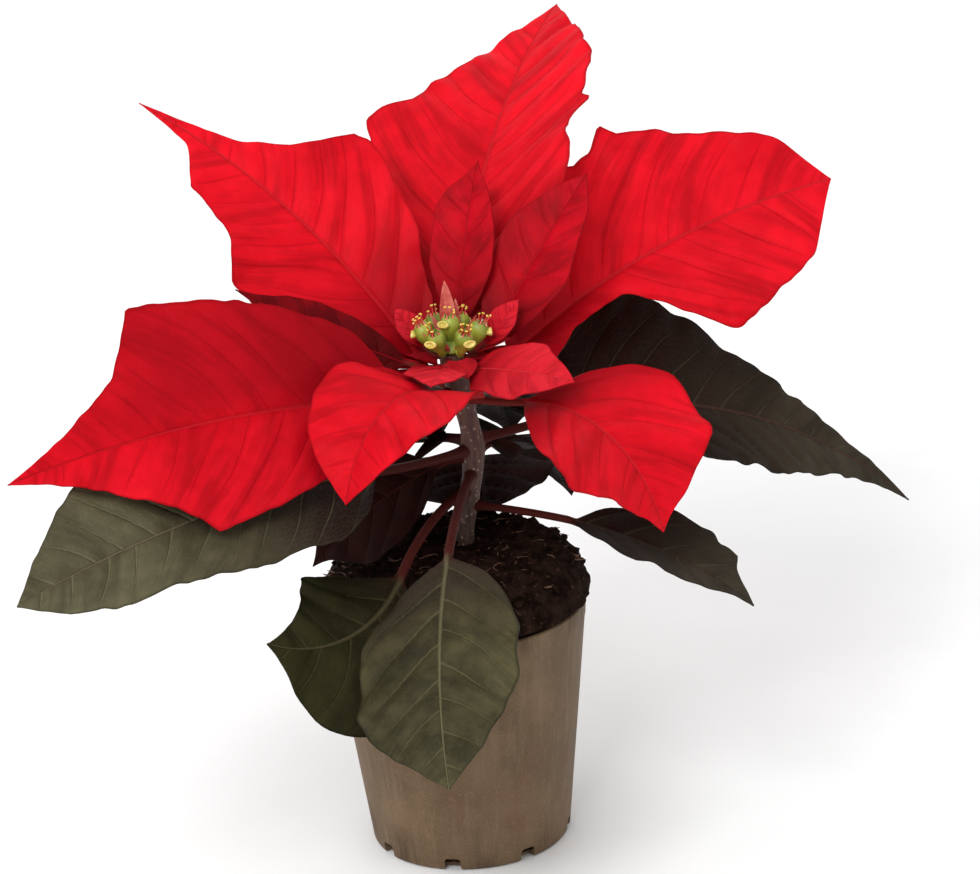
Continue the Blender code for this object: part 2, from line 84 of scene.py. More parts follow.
# Bracts and leaves, in millimetres and shares of the length or of the widest half-width
STATIONS = (0.0, 0.08, 0.2, 0.34, 0.48, 0.62, 0.76, 0.9, 1.0)
MIDRIB_STEPS = 160
COLUMN_WIDTH = 0.8
ROW_LENGTH = 0.9
LEAST_VEINS = 5
VEIN_SPACING = 8.8
VEIN_LEAN = 0.62
BRACT_QUILT, LEAF_QUILT = 0.028, 0.036
BRACT_THICK, LEAF_THICK = 0.45, 0.5
RUFFLE = 0.035
MIDRIB_GROOVE = 0.35
CREASE_ABOVE, CREASE_BELOW = 0.06, 0.16

# Flower cluster
CUP_COUNT = 7
CUP_RING = 5.4 * MM
# Small bracts round the cups: turn in degrees, then reach, rise, half-width and start above the
# cluster's foot in millimetres
UPRIGHT_TONGUES = (
    (100, 3.2, 15.5, 1.9, 0.8), (70, 4.6, 10.5, 1.5, 0.8), (140, 5, 7.5, 1.2, 0.8),
    (20, 6.2, 7, 1.1, 0.8), (-60, 6.3, 4.5, 1, 0.8), (-110, 6.4, 4.2, 0.9, 0.8),
    (200, 6.3, 5, 1, 0.8),
)
SPREAD_TONGUES = (
    (286, 11, -2, 3.6, -1), (300, 9, -2, 3, -2.6), (255, 8, -1, 3, -2.6),
    (28, 14, 3, 4, -1), (8, 13, 2.5, 3.2, -0.8), (196, 20, -1, 3.2, -4.2),
    (185, 8, 2, 3.6, -2.8), (350, 9, 0, 2.8, -2), (12, 15, 2, 3, -3.2),
    (44, 13.5, 2.5, 3.2, -2.4), (78, 12, 2.5, 3, -2.6), (112, 12.5, 2.5, 3, -2.4),
    (150, 13.5, 1.5, 3, -3), (182, 16, 1, 3, -3.4), (214, 12, 0.5, 2.6, -3),
    (-24, 11, -1, 2.6, -3.4),
)


def blade(name, seat, heading, stalk, length, rise, left, right, **shape):
    """One bract or leaf. Lengths are in millimetres and angles in degrees.

    seat: height on the stem.  heading: compass turn, 0 is +X and 90 is +Y.
    stalk, length: stalk and blade measured along the midrib.
    rise: slope where the stalk leaves the stem, at the blade's base and at its tip.
    left, right: half-widths at the seven inner stations from base to tip.
    fold, fold_tip: how far the two halves stand up from flat, at base and tip.
    roll: turn about the midrib.  swing: sideways bend of the midrib.
    teeth: pointed lobes as (side, place along the blade, height, root length).
    wave: height of the edge's waves, their number and their start.
    top, under: the looks of its two faces.
    """
    kind = name.split("_")[0]
    values = dict(name=name, kind=kind, seat=seat, heading=heading, stalk=stalk, length=length)
    values.update(rise=rise, left=left, right=right, wide=max(*left, *right), top=kind, under="under")
    values.update(fold=10, roll=0, swing=0, twist=0, sweep=0.35, teeth=())
    values.update(wave=(1.2, 3.0, 0.1), stalk_radius=1.1)
    values.update(shape)
    values.setdefault("fold_tip", values["fold"])
    return values


SMALL = {"wave": (0.4, 2, 0), "stalk_radius": 0.7}
TINY = {"wave": (0.1, 1, 0), "stalk_radius": 0.55}
BLADES = (
    blade("bract_back", 115, 81, 8, 103, (0, 54, 25),
          (12, 22, 29, 29, 23, 14, 5), (8, 19, 27, 24, 26, 19, 8),
          roll=-14, swing=-24, teeth=((-1, 0.52, 4, 0.05), (1, 0.5, 7, 0.16))),
    blade("bract_right", 113.5, 34, 12, 92, (0, 29, 10),
          (10, 15, 22, 29, 30, 24, 18), (10, 6, 6, 20, 30, 25, 18),
          fold=25, fold_tip=-5, roll=40, swing=-28, sweep=-0.1,
          teeth=((1, 0.4, 9, 0.13), (1, 0.57, 4, 0.05))),
    blade("bract_back_left", 114, 145, 7, 94, (0, 52, 28),
          (10, 18, 25, 22, 14, 5, 1.6), (8, 14, 21, 23, 14, 5, 1.6),
          fold=22, fold_tip=-3, roll=-34, swing=16, sweep=0.0,
          teeth=((-1, 0.55, 6, 0.16), (1, 0.48, 3, 0.16), (1, 0.75, 7, 0.16))),
    blade("bract_left", 112.5, 208, 11, 100, (0, 12, -9),
          (11, 20, 25, 24, 19, 11, 4), (15, 22, 26, 24, 17, 9, 3),
          fold=20, roll=-56, teeth=((-1, 0.55, 8, 0.2), (1, 0.5, 5, 0.2)), top="low"),
    blade("bract_front_left", 109.5, 237, 4, 54, (0, 48, -71),
          (15, 18, 19, 18, 14, 9, 4), (5, 11, 15, 16, 14, 10, 4),
          fold=12, roll=-10, wave=(0.8, 2.5, 0.3), stalk_radius=0.9),
    blade("bract_front_right", 111, 324, 15, 51, (0, 11, -72),
          (11, 19, 24, 22, 18, 12, 4), (10, 18, 23, 23, 18, 11, 4),
          fold=8, roll=13, swing=-16, twist=-20, teeth=((1, 0.58, 2, 0.24),), stalk_radius=0.9),
    blade("bract_small_left", 118.5, 184, 8, 44, (0, 26, 33),
          (7, 8, 8, 7, 6, 4, 1), (3, 5, 6, 6, 5, 3, 1),
          fold=10, roll=-45, top="shaded_red", **SMALL),
    blade("bract_small_back", 119, 76, 8, 42, (0, 72, 50),
          (3, 6, 8, 8, 8, 6, 2), (2, 6, 8, 8, 7, 5, 2),
          fold=16, swing=-10, top="inner", **SMALL),
    blade("bract_small_right", 117.5, 31, 8, 47, (0, 55, 45),
          (4, 8, 9, 10, 9, 6, 3), (6, 10, 12, 11, 9, 7, 3),
          fold=14, roll=26, top="inner", **SMALL),
    blade("bract_small_front", 119, 318, 3, 31, (0, 10, -2),
          (5, 7, 8, 8, 6, 4, 2), (8, 8, 9, 9, 7, 5, 2),
          fold=6, roll=30, top="rosy", **SMALL),
    blade("bract_small_low", 120.8, 254, 3, 13, (0, 4, -10),
          (4, 6, 7, 6, 5, 3, 1), (5, 7, 8, 7, 5, 3, 1),
          fold=3, wave=(0.3, 2, 0), stalk_radius=0.6, top="rosy"),
    blade("bract_tiny_right", 120.5, 8, 6, 13, (0, 50, 52),
          (2, 3, 3.6, 3.6, 3, 2, 1), (2, 3, 3.6, 3.6, 3, 2, 1),
          fold=14, roll=45, top="rosy", **TINY),
    blade("bract_tiny_left", 120.8, 152, 5, 11, (0, 50, 52),
          (2, 3, 3.4, 3.4, 2.8, 2, 1), (2, 3, 3.4, 3.4, 2.8, 2, 1),
          fold=14, roll=-30, top="rosy", **TINY),
    blade("leaf_left", 98, 217, 25, 96, (0, 9, -16),
          (14, 20, 20, 18, 16, 14, 8), (13, 20, 23, 23, 20, 14, 6),
          fold=11, roll=-33, swing=-6, top="painted_sheen"),
    blade("leaf_front", 92, 258, 31, 60, (0, -31, -42),
          (13, 19, 21, 21, 17, 12, 5), (12, 18, 20, 20, 18, 12, 5),
          fold=4, roll=24, swing=18, wave=(0.8, 3, 0.5)),
    blade("leaf_front_left", 88, 236, 31, 41, (0, -43, 28),
          (9, 15, 22, 23, 20, 12, 3), (12, 17, 18, 15, 11, 7, 3),
          fold=5, roll=-55, swing=-40, wave=(0.8, 3, 0.2), top="deep"),
    blade("leaf_right", 100, 28, 19, 102, (0, 2, -46),
          (24, 29, 24, 16, 10, 5, 2), (14, 21, 23, 21, 16, 9, 3),
          fold=20, fold_tip=2, roll=32, swing=-24, sweep=0.2, top="dusky"),
    blade("leaf_front_right", 84, 334, 24, 48, (0, -6, -34),
          (8, 12, 14, 14, 11, 7, 3), (8, 12, 14, 13, 11, 7, 2),
          fold=12, teeth=((1, 0.72, 2, 0.12),), wave=(0.5, 3, 0), stalk_radius=0.9, top="dusky"),
    blade("leaf_under", 96, 193, 6, 38, (0, -20, -46),
          (8, 12, 15, 15, 12, 7, 2), (8, 13, 15, 15, 12, 7, 2),
          fold=8, roll=-30, wave=(0.6, 2, 0), stalk_radius=0.9, top="shade", under="shade"),
    blade("leaf_back_right", 97, 58, 6, 46, (0, -8, -66),
          (11, 15, 18, 18, 14, 9, 3), (12, 18, 20, 19, 15, 10, 3),
          teeth=((1, 0.45, 3, 0.14), (-1, 0.52, 3, 0.14)), under="shade"),
    blade("leaf_back_left", 99.5, 140, 6, 54, (0, -8, -48),
          (11, 17, 20, 19, 15, 9, 3), (11, 17, 20, 19, 15, 9, 3),
          teeth=((1, 0.5, 3, 0.14),), under="shade"),
    blade("leaf_back", 94, 88, 5, 34, (0, -30, -62),
          (18, 23, 23, 22, 19, 13, 4), (14, 19, 20, 18, 14, 10, 3),
          teeth=((-1, 0.34, 3, 0.2),), under="shade"),
    blade("leaf_back_high", 106.5, 78, 5, 48, (0, 3, -62),
          (12, 18, 21, 20, 16, 10, 3), (10, 13, 14, 14, 11, 7, 3), fold=6, under="shade"),
)


# Geometry of the blades

def smooth(x):
    x = np.clip(x, 0.0, 1.0)
    return x * x * (3 - 2 * x)


def turns(count):
    """Even angles once round."""
    return [2 * pi * k / count for k in range(count)]


def stem_x(height):
    """The stem stands upright in the soil, then bows gently to the right and back."""
    t = (height - STEM_BOW_FROM) / (STEM_TOP - STEM_BOW_FROM)
    return STEM_OFFSET + (STEM_BOW * sin(pi * t) ** 2 if 0 < t < 1 else 0.0)


def curve_through(xs, ys, x):
    """Smooth curve through points that never overshoots them."""
    xs = np.asarray(xs, float)
    ys = np.asarray(ys, float)
    h = np.diff(xs)
    m = np.diff(ys) / h
    d = np.zeros_like(ys)
    for i in range(1, len(xs) - 1):
        if m[i - 1] * m[i] > 0:
            a = 2 * h[i] + h[i - 1]
            b = h[i] + 2 * h[i - 1]
            d[i] = (a + b) / (a / m[i - 1] + b / m[i])
    d[0] = m[0]
    d[-1] = m[-1]
    i = np.clip(np.searchsorted(xs, x) - 1, 0, len(h) - 1)
    t = (x - xs[i]) / h[i]
    value = (2 * t ** 3 - 3 * t ** 2 + 1) * ys[i] + (t ** 3 - 2 * t ** 2 + t) * h[i] * d[i]
    return value + (-2 * t ** 3 + 3 * t ** 2) * ys[i + 1] + (t ** 3 - t ** 2) * h[i] * d[i + 1]


def ripple(x, seed):
    """Smooth wobble between about -1 and 1 that repeats every ten units."""
    a = np.sin(2 * pi * (x + 0.13 * seed)) + 0.7 * np.sin(2 * pi * (1.7 * x + 0.37 * seed))
    return (a + 0.5 * np.sin(2 * pi * (2.9 * x + 0.71 * seed))) / 2.2


def half_width(leaf, s, side):
    """Half-width of the blade in millimetres on one side, teeth included."""
    inner = leaf["left"] if side > 0 else leaf["right"]
    width = curve_through(STATIONS, (0.0, *inner, 0.0), s)
    for tooth_side, at, height, root in leaf["teeth"]:
        if tooth_side == side:
            rising = np.clip(1 - (at - s) / root, 0, 1) * (s <= at)
            falling = np.clip(1 - (s - at) / (0.55 * root), 0, 1) * (s > at)
            width = width + height * (rising + falling) ** 1.25
    wide = leaf["wide"]
    wobble = 0.012 * wide * ripple(s * leaf["length"] / 13, leaf["seed"] + side)
    return width + wobble * np.clip(width / (0.3 * wide), 0, 1)


def midrib(leaf, s):
    """Points and directions along stalk (s from -1 to 0) and midrib (s from 0 to 1)."""
    steps = MIDRIB_STEPS
    fine = np.concatenate([np.linspace(-1, 0, steps + 1)[:-1], np.linspace(0, 1, steps + 1)])
    span = np.where(fine[:-1] < 0, leaf["stalk"] / steps, leaf["length"] / steps)

    def angles(at):
        first, base, tip = leaf["rise"]
        stalk = np.clip(at + 1, 0, 1)
        along = np.clip(at, 0, 1)
        pitch = np.where(at < 0, first + (base - first) * stalk, base + (tip - base) * along)
        roll = leaf["roll"] * stalk + leaf["twist"] * along
        return np.radians(pitch), np.radians(leaf["swing"] * along), np.radians(roll)

    pitch, yaw, roll = angles((fine[:-1] + fine[1:]) / 2)
    way = np.stack([np.cos(pitch) * np.cos(yaw), np.cos(pitch) * np.sin(yaw), np.sin(pitch)], -1)
    path = np.vstack([np.zeros(3), np.cumsum(way * span[:, None], axis=0)])
    point = np.stack([np.interp(s, fine, path[:, k]) for k in range(3)], -1)
    pitch, yaw, roll = angles(s)
    way = np.stack([np.cos(pitch) * np.cos(yaw), np.cos(pitch) * np.sin(yaw), np.sin(pitch)], -1)
    level = np.stack([-np.sin(yaw), np.cos(yaw), 0 * yaw], -1)
    above = np.cross(way, level)
    across = level * np.cos(roll)[:, None] + above * np.sin(roll)[:, None]
    normal = -level * np.sin(roll)[:, None] + above * np.cos(roll)[:, None]
    # a stalk that starts inside the stem: points before s = -1 run straight back
    early = np.minimum(s + 1, 0)[:, None] * leaf["stalk"]
    return point + early * way, way, across, normal


def vein_phase(leaf, s, y, side):
    """Counts the side veins: a whole number on each vein, which leaves the midrib and arches to the tip."""
    wide = leaf["wide"]
    lean = VEIN_LEAN - leaf["sweep"]
    root = s - (lean * y + 0.34 * y * y / wide) / leaf["length"]
    wander = 0.018 * ripple(root * 2.3 + 0.4 * y / wide, leaf["seed"] + 3 * side)
    return leaf["veins"] * (root + wander) + np.where(side > 0, 0.65, 0.2)


def blade_sheet(leaf):
    """The blade's middle surface, its normals and its leaf coordinates, rows by columns."""
    wide = leaf["wide"]
    length = leaf["length"]
    columns = int(max(8, round(wide / COLUMN_WIDTH)))
    count = int(max(24, round(length / ROW_LENGTH)))
    stalk_count = int(max(6, round(leaf["stalk"] / 1.2)))
    inward = -1 - 1.1 / leaf["stalk"]
    even = np.linspace(0.0, 1.0, count)
    along = 0.75 * even + 0.125 * (1 - np.cos(even * pi))
    s = np.concatenate([[inward], np.linspace(-1, 0, stalk_count + 1)[:-1], along])
    point, way, across, normal = midrib(leaf, s)
    k = np.arange(-columns, columns + 1)
    side = np.where(k > 0, 1, -1)[None, :]
    out_share = (np.abs(k) / columns)[None, :]
    turn = out_share * pi / 2
    blend = smooth((s + 0.02) / 0.07)[:, None]
    row = np.clip(s, 0, 1)[:, None]
    flare = 1 + 0.5 * np.exp(-np.clip((s + 1) * leaf["stalk"], 0, None) / 1.6)
    radius = (leaf["stalk_radius"] * flare)[:, None]
    both = [half_width(leaf, row[:, 0], one)[:, None] for one in (-1, 1)]
    width = np.where(side > 0, both[1], both[0])
    out = np.maximum(width, np.where(row < 0.1, 0.9 * leaf["stalk_radius"], 0.12))
    y = (1 - blend) * radius * np.sin(turn) + blend * out * out_share ** 1.2
    t = y / np.maximum(out, y)

    fold = np.radians(leaf["fold"] + (leaf["fold_tip"] - leaf["fold"]) * row) * blend
    height, waves, start = leaf["wave"]
    phase = waves * row + start + np.where(side > 0, 0.37, 0.0)
    lift = y * np.sin(fold) + blend * height * (y / wide) ** 2 * np.sin(2 * pi * phase)

    # pillows between the veins, a groove along the midrib and a ruffled edge
    veins = vein_phase(leaf, row, y, side)
    pillow = np.abs(np.sin(pi * veins)) ** 0.75
    reach = smooth(y / (0.16 * wide)) * (1 - 0.75 * t ** 3) * smooth((1 - row) / 0.12)
    lift = lift + blend * leaf["quilt"] * (pillow - 0.45) * reach
    lift = lift - blend * MIDRIB_GROOVE * np.exp(-(y / 0.9) ** 2) * (1 - row)
    curl = ripple(row * length / 17 + 0.2 * side, leaf["seed"] + 5)
    lift = lift + blend * leaf["ruffle"] * t ** 3 * curl * smooth(out / (0.4 * wide))

    def add(vector, amount):
        return vector[:, None, :] * amount[:, :, None]

    sheet = point[:, None, :] + add(way, leaf["sweep"] * blend * y)
    sheet = sheet + add(across, side * y * np.cos(fold)) + add(normal, lift)
    down = np.gradient(sheet, axis=0)
    over = np.gradient(sheet, axis=1)
    facing = np.cross(down, over)
    size = np.linalg.norm(facing, axis=2, keepdims=True)
    facing = facing / np.maximum(size, 1e-9)
    away = np.sign((facing * normal[:, None, :]).sum(2, keepdims=True))
    facing = facing * np.where(away == 0, 1, away)
    mix = blend[:, :, None]
    facing = normal[:, None, :] * (1 - mix) + facing * mix
    facing = facing / np.linalg.norm(facing, axis=2, keepdims=True)

    half = 0.5 * leaf["thick"] * (1 - 0.45 * t ** 2)
    thick = (1 - blend) * np.maximum(radius * np.cos(turn), 0.12) + blend * half
    rib = np.maximum(0.0, (leaf["stalk_radius"] - 0.2) * (1 - row) ** 1.2) * blend
    below = thick + rib * np.exp(-(y / (0.75 * leaf["stalk_radius"])) ** 2)
    crease = np.exp(-(np.abs(veins - np.round(veins)) / 0.07) ** 2) * reach * blend
    upper = sheet + facing * (thick - CREASE_ABOVE * crease)[:, :, None]
    lower = sheet - facing * (below + CREASE_BELOW * crease)[:, :, None]
    return dict(upper=upper, lower=lower, s=s, y=y, t=t)


def blade_mesh(leaf):
    """One closed thin mesh: upper face, lower face and rim, with two sets of leaf coordinates."""
    sheet = blade_sheet(leaf)
    rows, columns = sheet["y"].shape
    points = np.concatenate([sheet["upper"].reshape(-1, 3), sheet["lower"].reshape(-1, 3)]) * MM
    index = np.arange(rows * columns).reshape(rows, columns)
    below = rows * columns
    a, b, c, d = index[:-1, :-1], index[:-1, 1:], index[1:, 1:], index[1:, :-1]
    top = np.stack([a, b, c, d], -1).reshape(-1, 4)
    under = top[:, ::-1] + below
    rims = []
    for edge, flip in ((index[:, 0], False), (index[:, -1], True), (index[0], True), (index[-1], False)):
        one, two = edge[:-1], edge[1:]
        quad = np.stack([one, two, two + below, one + below], -1)
        rims.append(quad[:, ::-1] if flip else quad)
    faces = np.concatenate([top, under] + rims)
    mesh = bpy.data.meshes.new(leaf["name"] + "_leafwork")
    mesh.from_pydata(points.tolist(), [], faces.tolist())
    work = bmesh.new()
    work.from_mesh(mesh)
    volume = work.calc_volume(signed=True)
    if volume < 0:
        bmesh.ops.reverse_faces(work, faces=work.faces)
        work.to_mesh(mesh)
    work.free()

    corners = np.zeros(len(mesh.loops), np.int32)
    mesh.loops.foreach_get("vertex_index", corners)
    face_of = np.repeat(np.arange(len(mesh.polygons)), 4)
    place = corners % below
    row, column = place // columns, place % columns
    # a corner on the midrib belongs to the side that its face lies on
    middle = columns // 2
    per_face = column.reshape(-1, 4)
    side_of_face = np.where(per_face.max(1) > middle, 1, -1)
    side = side_of_face[face_of]
    y = sheet["y"][row, column]
    s = np.clip(sheet["s"], -1, 1)[row]
    row_share = np.clip(s, 0, 1)
    phase = np.where(side > 0, vein_phase(leaf, row_share, y, 1), vein_phase(leaf, row_share, y, -1))
    t = sheet["t"][row, column]
    for name, u, v in (("veins", phase, side * y / leaf["wide"]), ("blade", s, side * t)):
        layer = mesh.uv_layers.new(name=name)
        layer.data.foreach_set("uv", np.stack([u, v], -1).astype(np.float32).ravel())
    look = np.zeros(len(mesh.polygons), np.int32)
    look[len(top):len(top) + len(under)] = 1
    mesh.polygons.foreach_set("material_index", look)
    mesh.polygons.foreach_set("use_smooth", np.ones(len(mesh.polygons), bool))
    mesh.set_sharp_from_angle(angle=radians(58))
    return mesh


# Materials

class Nodes:
    """Builds a node material around one Principled shader."""

    def __init__(self, name):
        self.material = bpy.data.materials.new(name)
        self.material.use_nodes = True
        self.tree = self.material.node_tree
        self.shader = self.tree.nodes["Principled BSDF"]

    def add(self, kind, *values, **settings):
        """A node with its settings. Values go to its inputs in order, and None leaves one as it is."""
        node = self.tree.nodes.new("ShaderNode" + kind)
        for key, value in settings.items():
            setattr(node, key, value)
        for socket, value in zip(node.inputs, values):
            self.put(socket, value)
        return node

    def put(self, socket, value):
        if value is None:
            return
        if isinstance(value, bpy.types.NodeSocket):
            self.tree.links.new(value, socket)
        elif isinstance(value, tuple) and len(value) == 3 and socket.type == "RGBA":
            socket.default_value = (*value, 1.0)
        else:
            socket.default_value = value

    def fill(self, node, **values):
        """Sets a node's inputs by name, with _ for a space."""
        for key, value in values.items():
            self.put(node.inputs[key.replace("_", " ")], value)
        return node.outputs[0]

    def math(self, operation, a, b=None, c=None):
        return self.add("Math", a, b, c, operation=operation).outputs[0]

    def times(self, a, b, plus=None):
        """a times b, plus a third value where one is given."""
        return self.math("MULTIPLY" if plus is None else "MULTIPLY_ADD", a, b, plus)

    def stretched(self, place, factors):
        return self.add("VectorMath", place, factors, operation="MULTIPLY").outputs[0]

    def mix(self, share, first, second):
        node = self.add("Mix", data_type="RGBA")
        self.put(node.inputs[0], share)
        self.put(node.inputs[6], first)
        self.put(node.inputs[7], second)
        return node.outputs[2]

    def ramp(self, value, low, high, start=0.0, end=1.0):
        """Goes smoothly from start to end while value goes from low to high."""
        node = self.add("MapRange", interpolation_type="SMOOTHSTEP")
        for socket, number in zip(node.inputs, (value, low, high, start, end)):
            self.put(socket, number)
        return node.outputs[0]

    def noise(self, scale, detail=3.0, roughness=0.55, place=None, distortion=0.0):
        return self.fill(
            self.add("TexNoise"), Vector=self.place() if place is None else place, Scale=scale,
            Detail=detail, Roughness=roughness, Distortion=distortion)

    def place(self):
        return self.add("TexCoord").outputs["Object"]

    def uv(self, name):
        node = self.add("UVMap", uv_map=name)
        split = self.add("SeparateXYZ", node.outputs[0])
        return node.outputs[0], split.outputs[0], split.outputs[1]

    def bump(self, height, distance, strength=1.0):
        return self.fill(self.add("Bump"), Height=height, Distance=distance, Strength=strength)

    def finish(self, colour, roughness, normal=None, **shine):
        self.fill(self.shader, Base_Color=colour, Roughness=roughness, Normal=normal, **shine)
        return self.material


def blade_material(name, deep, bright, vein, rib, foot, stalk, relief, net, veined,
                   rough=0.55, dim=0.0, **shine):
    """Skin of a bract or leaf: mottled and streaked, with midrib, side veins, a fine net and the stalk.

    foot: the colour at the blade's base, and the shares of its length where it starts and ends to fade; a
    darker foot is partly the blade's own tone and partly painted shade near the stem.
    dim: how far the upper half of a bract that hangs on its side takes that colour too, as painted shade
    from the bract above it.
    """
    make = Nodes(name)
    vein_place, phase, across = make.uv("veins")
    _, along, t = make.uv("blade")
    out = make.math("ABSOLUTE", t)
    # side veins: nearest whole number of the phase
    near = make.math("ABSOLUTE", make.math("SUBTRACT", make.math("FRACT", phase), 0.5))
    gap = make.math("SUBTRACT", 0.5, near)
    taper = make.times(out, -0.05, 0.085)
    side_vein = make.math("SUBTRACT", 1.0, make.ramp(make.math("DIVIDE", gap, taper), 0.15, 1.0))
    side_vein = make.times(side_vein, make.ramp(out, 1.0, 0.55, 0.25, 1.0))
    mid = make.math("ABSOLUTE", across)
    rib_width = make.times(along, -0.04, 0.052)
    mid_vein = make.math("SUBTRACT", 1.0, make.ramp(make.math("DIVIDE", mid, rib_width), 0.3, 1.0))
    # the net between them: cells stretched along the side veins
    stretch = make.stretched(vein_place, (3.2, 9.0, 0.0))
    cells = make.add("TexVoronoi", feature="DISTANCE_TO_EDGE", voronoi_dimensions="2D")
    cells = make.fill(cells, Vector=stretch, Scale=1.6)
    net_vein = make.math("SUBTRACT", 1.0, make.ramp(cells, 0.0, 0.14))
    # soft bands that run out with the side veins
    bands = make.stretched(vein_place, (1.3, 0.9, 0.0))
    streak = make.ramp(make.noise(1.0, 3.0, 0.6, bands), 0.44, 0.66, 0.0, 0.5)
    grain = make.noise(1900.0, 2.0)
    cloud = make.noise(38.0, 3.0)
    mottle = make.noise(210.0, 3.0)
    tone = make.math("ADD", make.ramp(cloud, 0.36, 0.66, 0.0, 0.62), make.ramp(mottle, 0.3, 0.7, 0.0, 0.38))
    colour = make.mix(tone, deep, bright)
    dark = tuple(0.45 * c for c in deep)
    base, start, end = foot
    # the foot colour: partly the blade's own tone, partly painted shade near the stem
    colour = make.mix(make.ramp(along, start, end, 1.0, 0.0), colour, base)
    # painted shade: the upper half of a bract that hangs on its side darkens towards the foot colour
    if dim:
        upper = make.times(make.ramp(t, 0.15, -0.3, 0.0, dim), make.ramp(along, 0.95, 0.5))
        colour = make.mix(upper, colour, base)
    colour = make.mix(streak, colour, dark)
    colour = make.mix(make.times(net_vein, 0.2 * net), colour, vein)
    colour = make.mix(make.times(side_vein, veined), colour, vein)
    colour = make.mix(make.times(mid_vein, 0.7), colour, rib)
    colour = make.mix(make.ramp(out, 0.955, 1.0, 0.0, 0.6), colour, dark)
    colour = make.mix(make.ramp(along, -0.03, 0.05, 1.0, 0.0), colour, stalk)
    wear = make.times(mottle, 0.18, rough - 0.09)
    height = make.times(side_vein, -0.55, make.times(mid_vein, -0.5))
    height = make.times(net_vein, -0.3 * net, height)
    height = make.times(grain, 0.12, height)
    return make.finish(colour, wear, make.bump(height, relief * MM), **shine)


# Each look: material, deep and bright tone, side veins, midrib, foot, and what differs from its kind
# the dark scarlet foot, fading out by 0.42 of the length, is partly the bract's own deeper red and partly
# painted shade near the stem
SCARLET = ((0.3, 0.0022, 0.007), (0.44, 0.009, 0.015), ((0.25, 0.0014, 0.006), 0.04, 0.42))
BRACT_LOOKS = {
    # painted shade: this look's dim darkens the upper half of the low bract
    "low": ("bract_scarlet_painted_shade", (0.5, 0.0018, 0.0085), (0.7, 0.0046, 0.015), *SCARLET, {"dim": 0.62}),
    "bract": ("bract_scarlet", (0.52, 0.0018, 0.0085), (0.72, 0.0046, 0.015), *SCARLET, {}),
    # darker crimson for the upright inner bracts: partly their own deeper red, partly painted shade among
    # the cups and bracts
    "inner": ("bract_crimson_painted_shade", (0.3, 0.0009, 0.0056), (0.5, 0.0018, 0.0105),
              (0.2, 0.0016, 0.005), (0.34, 0.006, 0.01), ((0.18, 0.0018, 0.005), 0.0, 0.4), {}),
    # painted shade: near-maroon red for the small bract lying in the shaded gap between the big bracts
    "shaded_red": ("bract_red_painted_shade", (0.1, 0.0007, 0.0028), (0.26, 0.0014, 0.006),
               (0.08, 0.0008, 0.0024), (0.3, 0.005, 0.009), ((0.07, 0.0008, 0.002), 0.0, 0.6), {}),
    "rosy": ("bract_rose", (0.52, 0.008, 0.018), (0.68, 0.022, 0.038),
             (0.42, 0.005, 0.013), (0.6, 0.03, 0.04), ((0.34, 0.004, 0.009), 0.0, 0.5), {}),
    "under": ("bract_underside", (0.42, 0.01, 0.017), (0.58, 0.024, 0.034),
              (0.34, 0.006, 0.011), (0.4, 0.026, 0.024), ((0.3, 0.008, 0.011), 0.0, 0.3),
              {"rough": 0.62, "relief": -0.45}),
}
BRACT_SKIN = dict(
    stalk=(0.14, 0.016, 0.012), relief=0.26, net=0.2, veined=0.26,
    Subsurface_Weight=0.15, Subsurface_Radius=(1.0, 0.08, 0.06), Subsurface_Scale=1.5 * MM,
    Specular_IOR_Level=0.06)

# near-black purple for leaf bases and for the leaves under the plant: mostly painted shade
PURPLE_SHADE = (0.013, 0.0042, 0.0028)
MATT = {"Specular_IOR_Level": 0.04}
LEAF_LOOKS = {
    "leaf": ("leaf_dark_green", (0.026, 0.022, 0.009), (0.084, 0.074, 0.031),
             (0.11, 0.1, 0.046), (0.13, 0.115, 0.06), ((0.03, 0.018, 0.011), 0.0, 0.4), {}),
    "deep": ("leaf_deep_green", (0.013, 0.012, 0.004), (0.03, 0.027, 0.01),
             (0.05, 0.046, 0.02), (0.07, 0.058, 0.03), ((0.014, 0.009, 0.0045), 0.0, 0.35), MATT),
    # the purple-black foot fading over most of the length is partly the leaf's own purple and partly painted
    # shade under the right bract
    "dusky": ("leaf_dusky", (0.032, 0.026, 0.017), (0.058, 0.048, 0.031),
              (0.06, 0.05, 0.034), (0.06, 0.03, 0.022), (PURPLE_SHADE, 0.15, 0.92), MATT),
    # painted sheen: a paler grey-green for the low left leaf where light grazes it; its dark reddish foot is
    # painted shade with a painted red reflection from the bracts
    "painted_sheen": ("leaf_painted_sheen", (0.06, 0.053, 0.027), (0.116, 0.105, 0.055),
               (0.15, 0.136, 0.078), (0.14, 0.11, 0.068), ((0.016, 0.006, 0.004), 0.15, 0.7), {}),
    # painted shade: near-black purple for the leaves under and behind the plant, which stand in shade
    "shade": ("leaf_painted_shade", (0.01, 0.0022, 0.0015), (0.021, 0.0046, 0.0032),
              (0.027, 0.008, 0.006), (0.04, 0.009, 0.007), (PURPLE_SHADE, 0.0, 0.3), MATT),
    "under": ("leaf_underside", (0.04, 0.04, 0.021), (0.07, 0.068, 0.038),
              (0.1, 0.092, 0.056), (0.13, 0.066, 0.045), ((0.04, 0.024, 0.014), 0.0, 0.3),
              {"rough": 0.62, "relief": -0.6}),
}
LEAF_SKIN = dict(
    stalk=(0.05, 0.009, 0.007), relief=0.5, net=0.4, veined=0.46, Specular_IOR_Level=0.11)


def blade_looks(table, skin):
    """The materials of bracts or of leaves, by the name of the look."""
    looks = {}
    for look, (*tones, own) in table.items():
        looks[look] = blade_material(*tones, **{**skin, **own})
    return looks


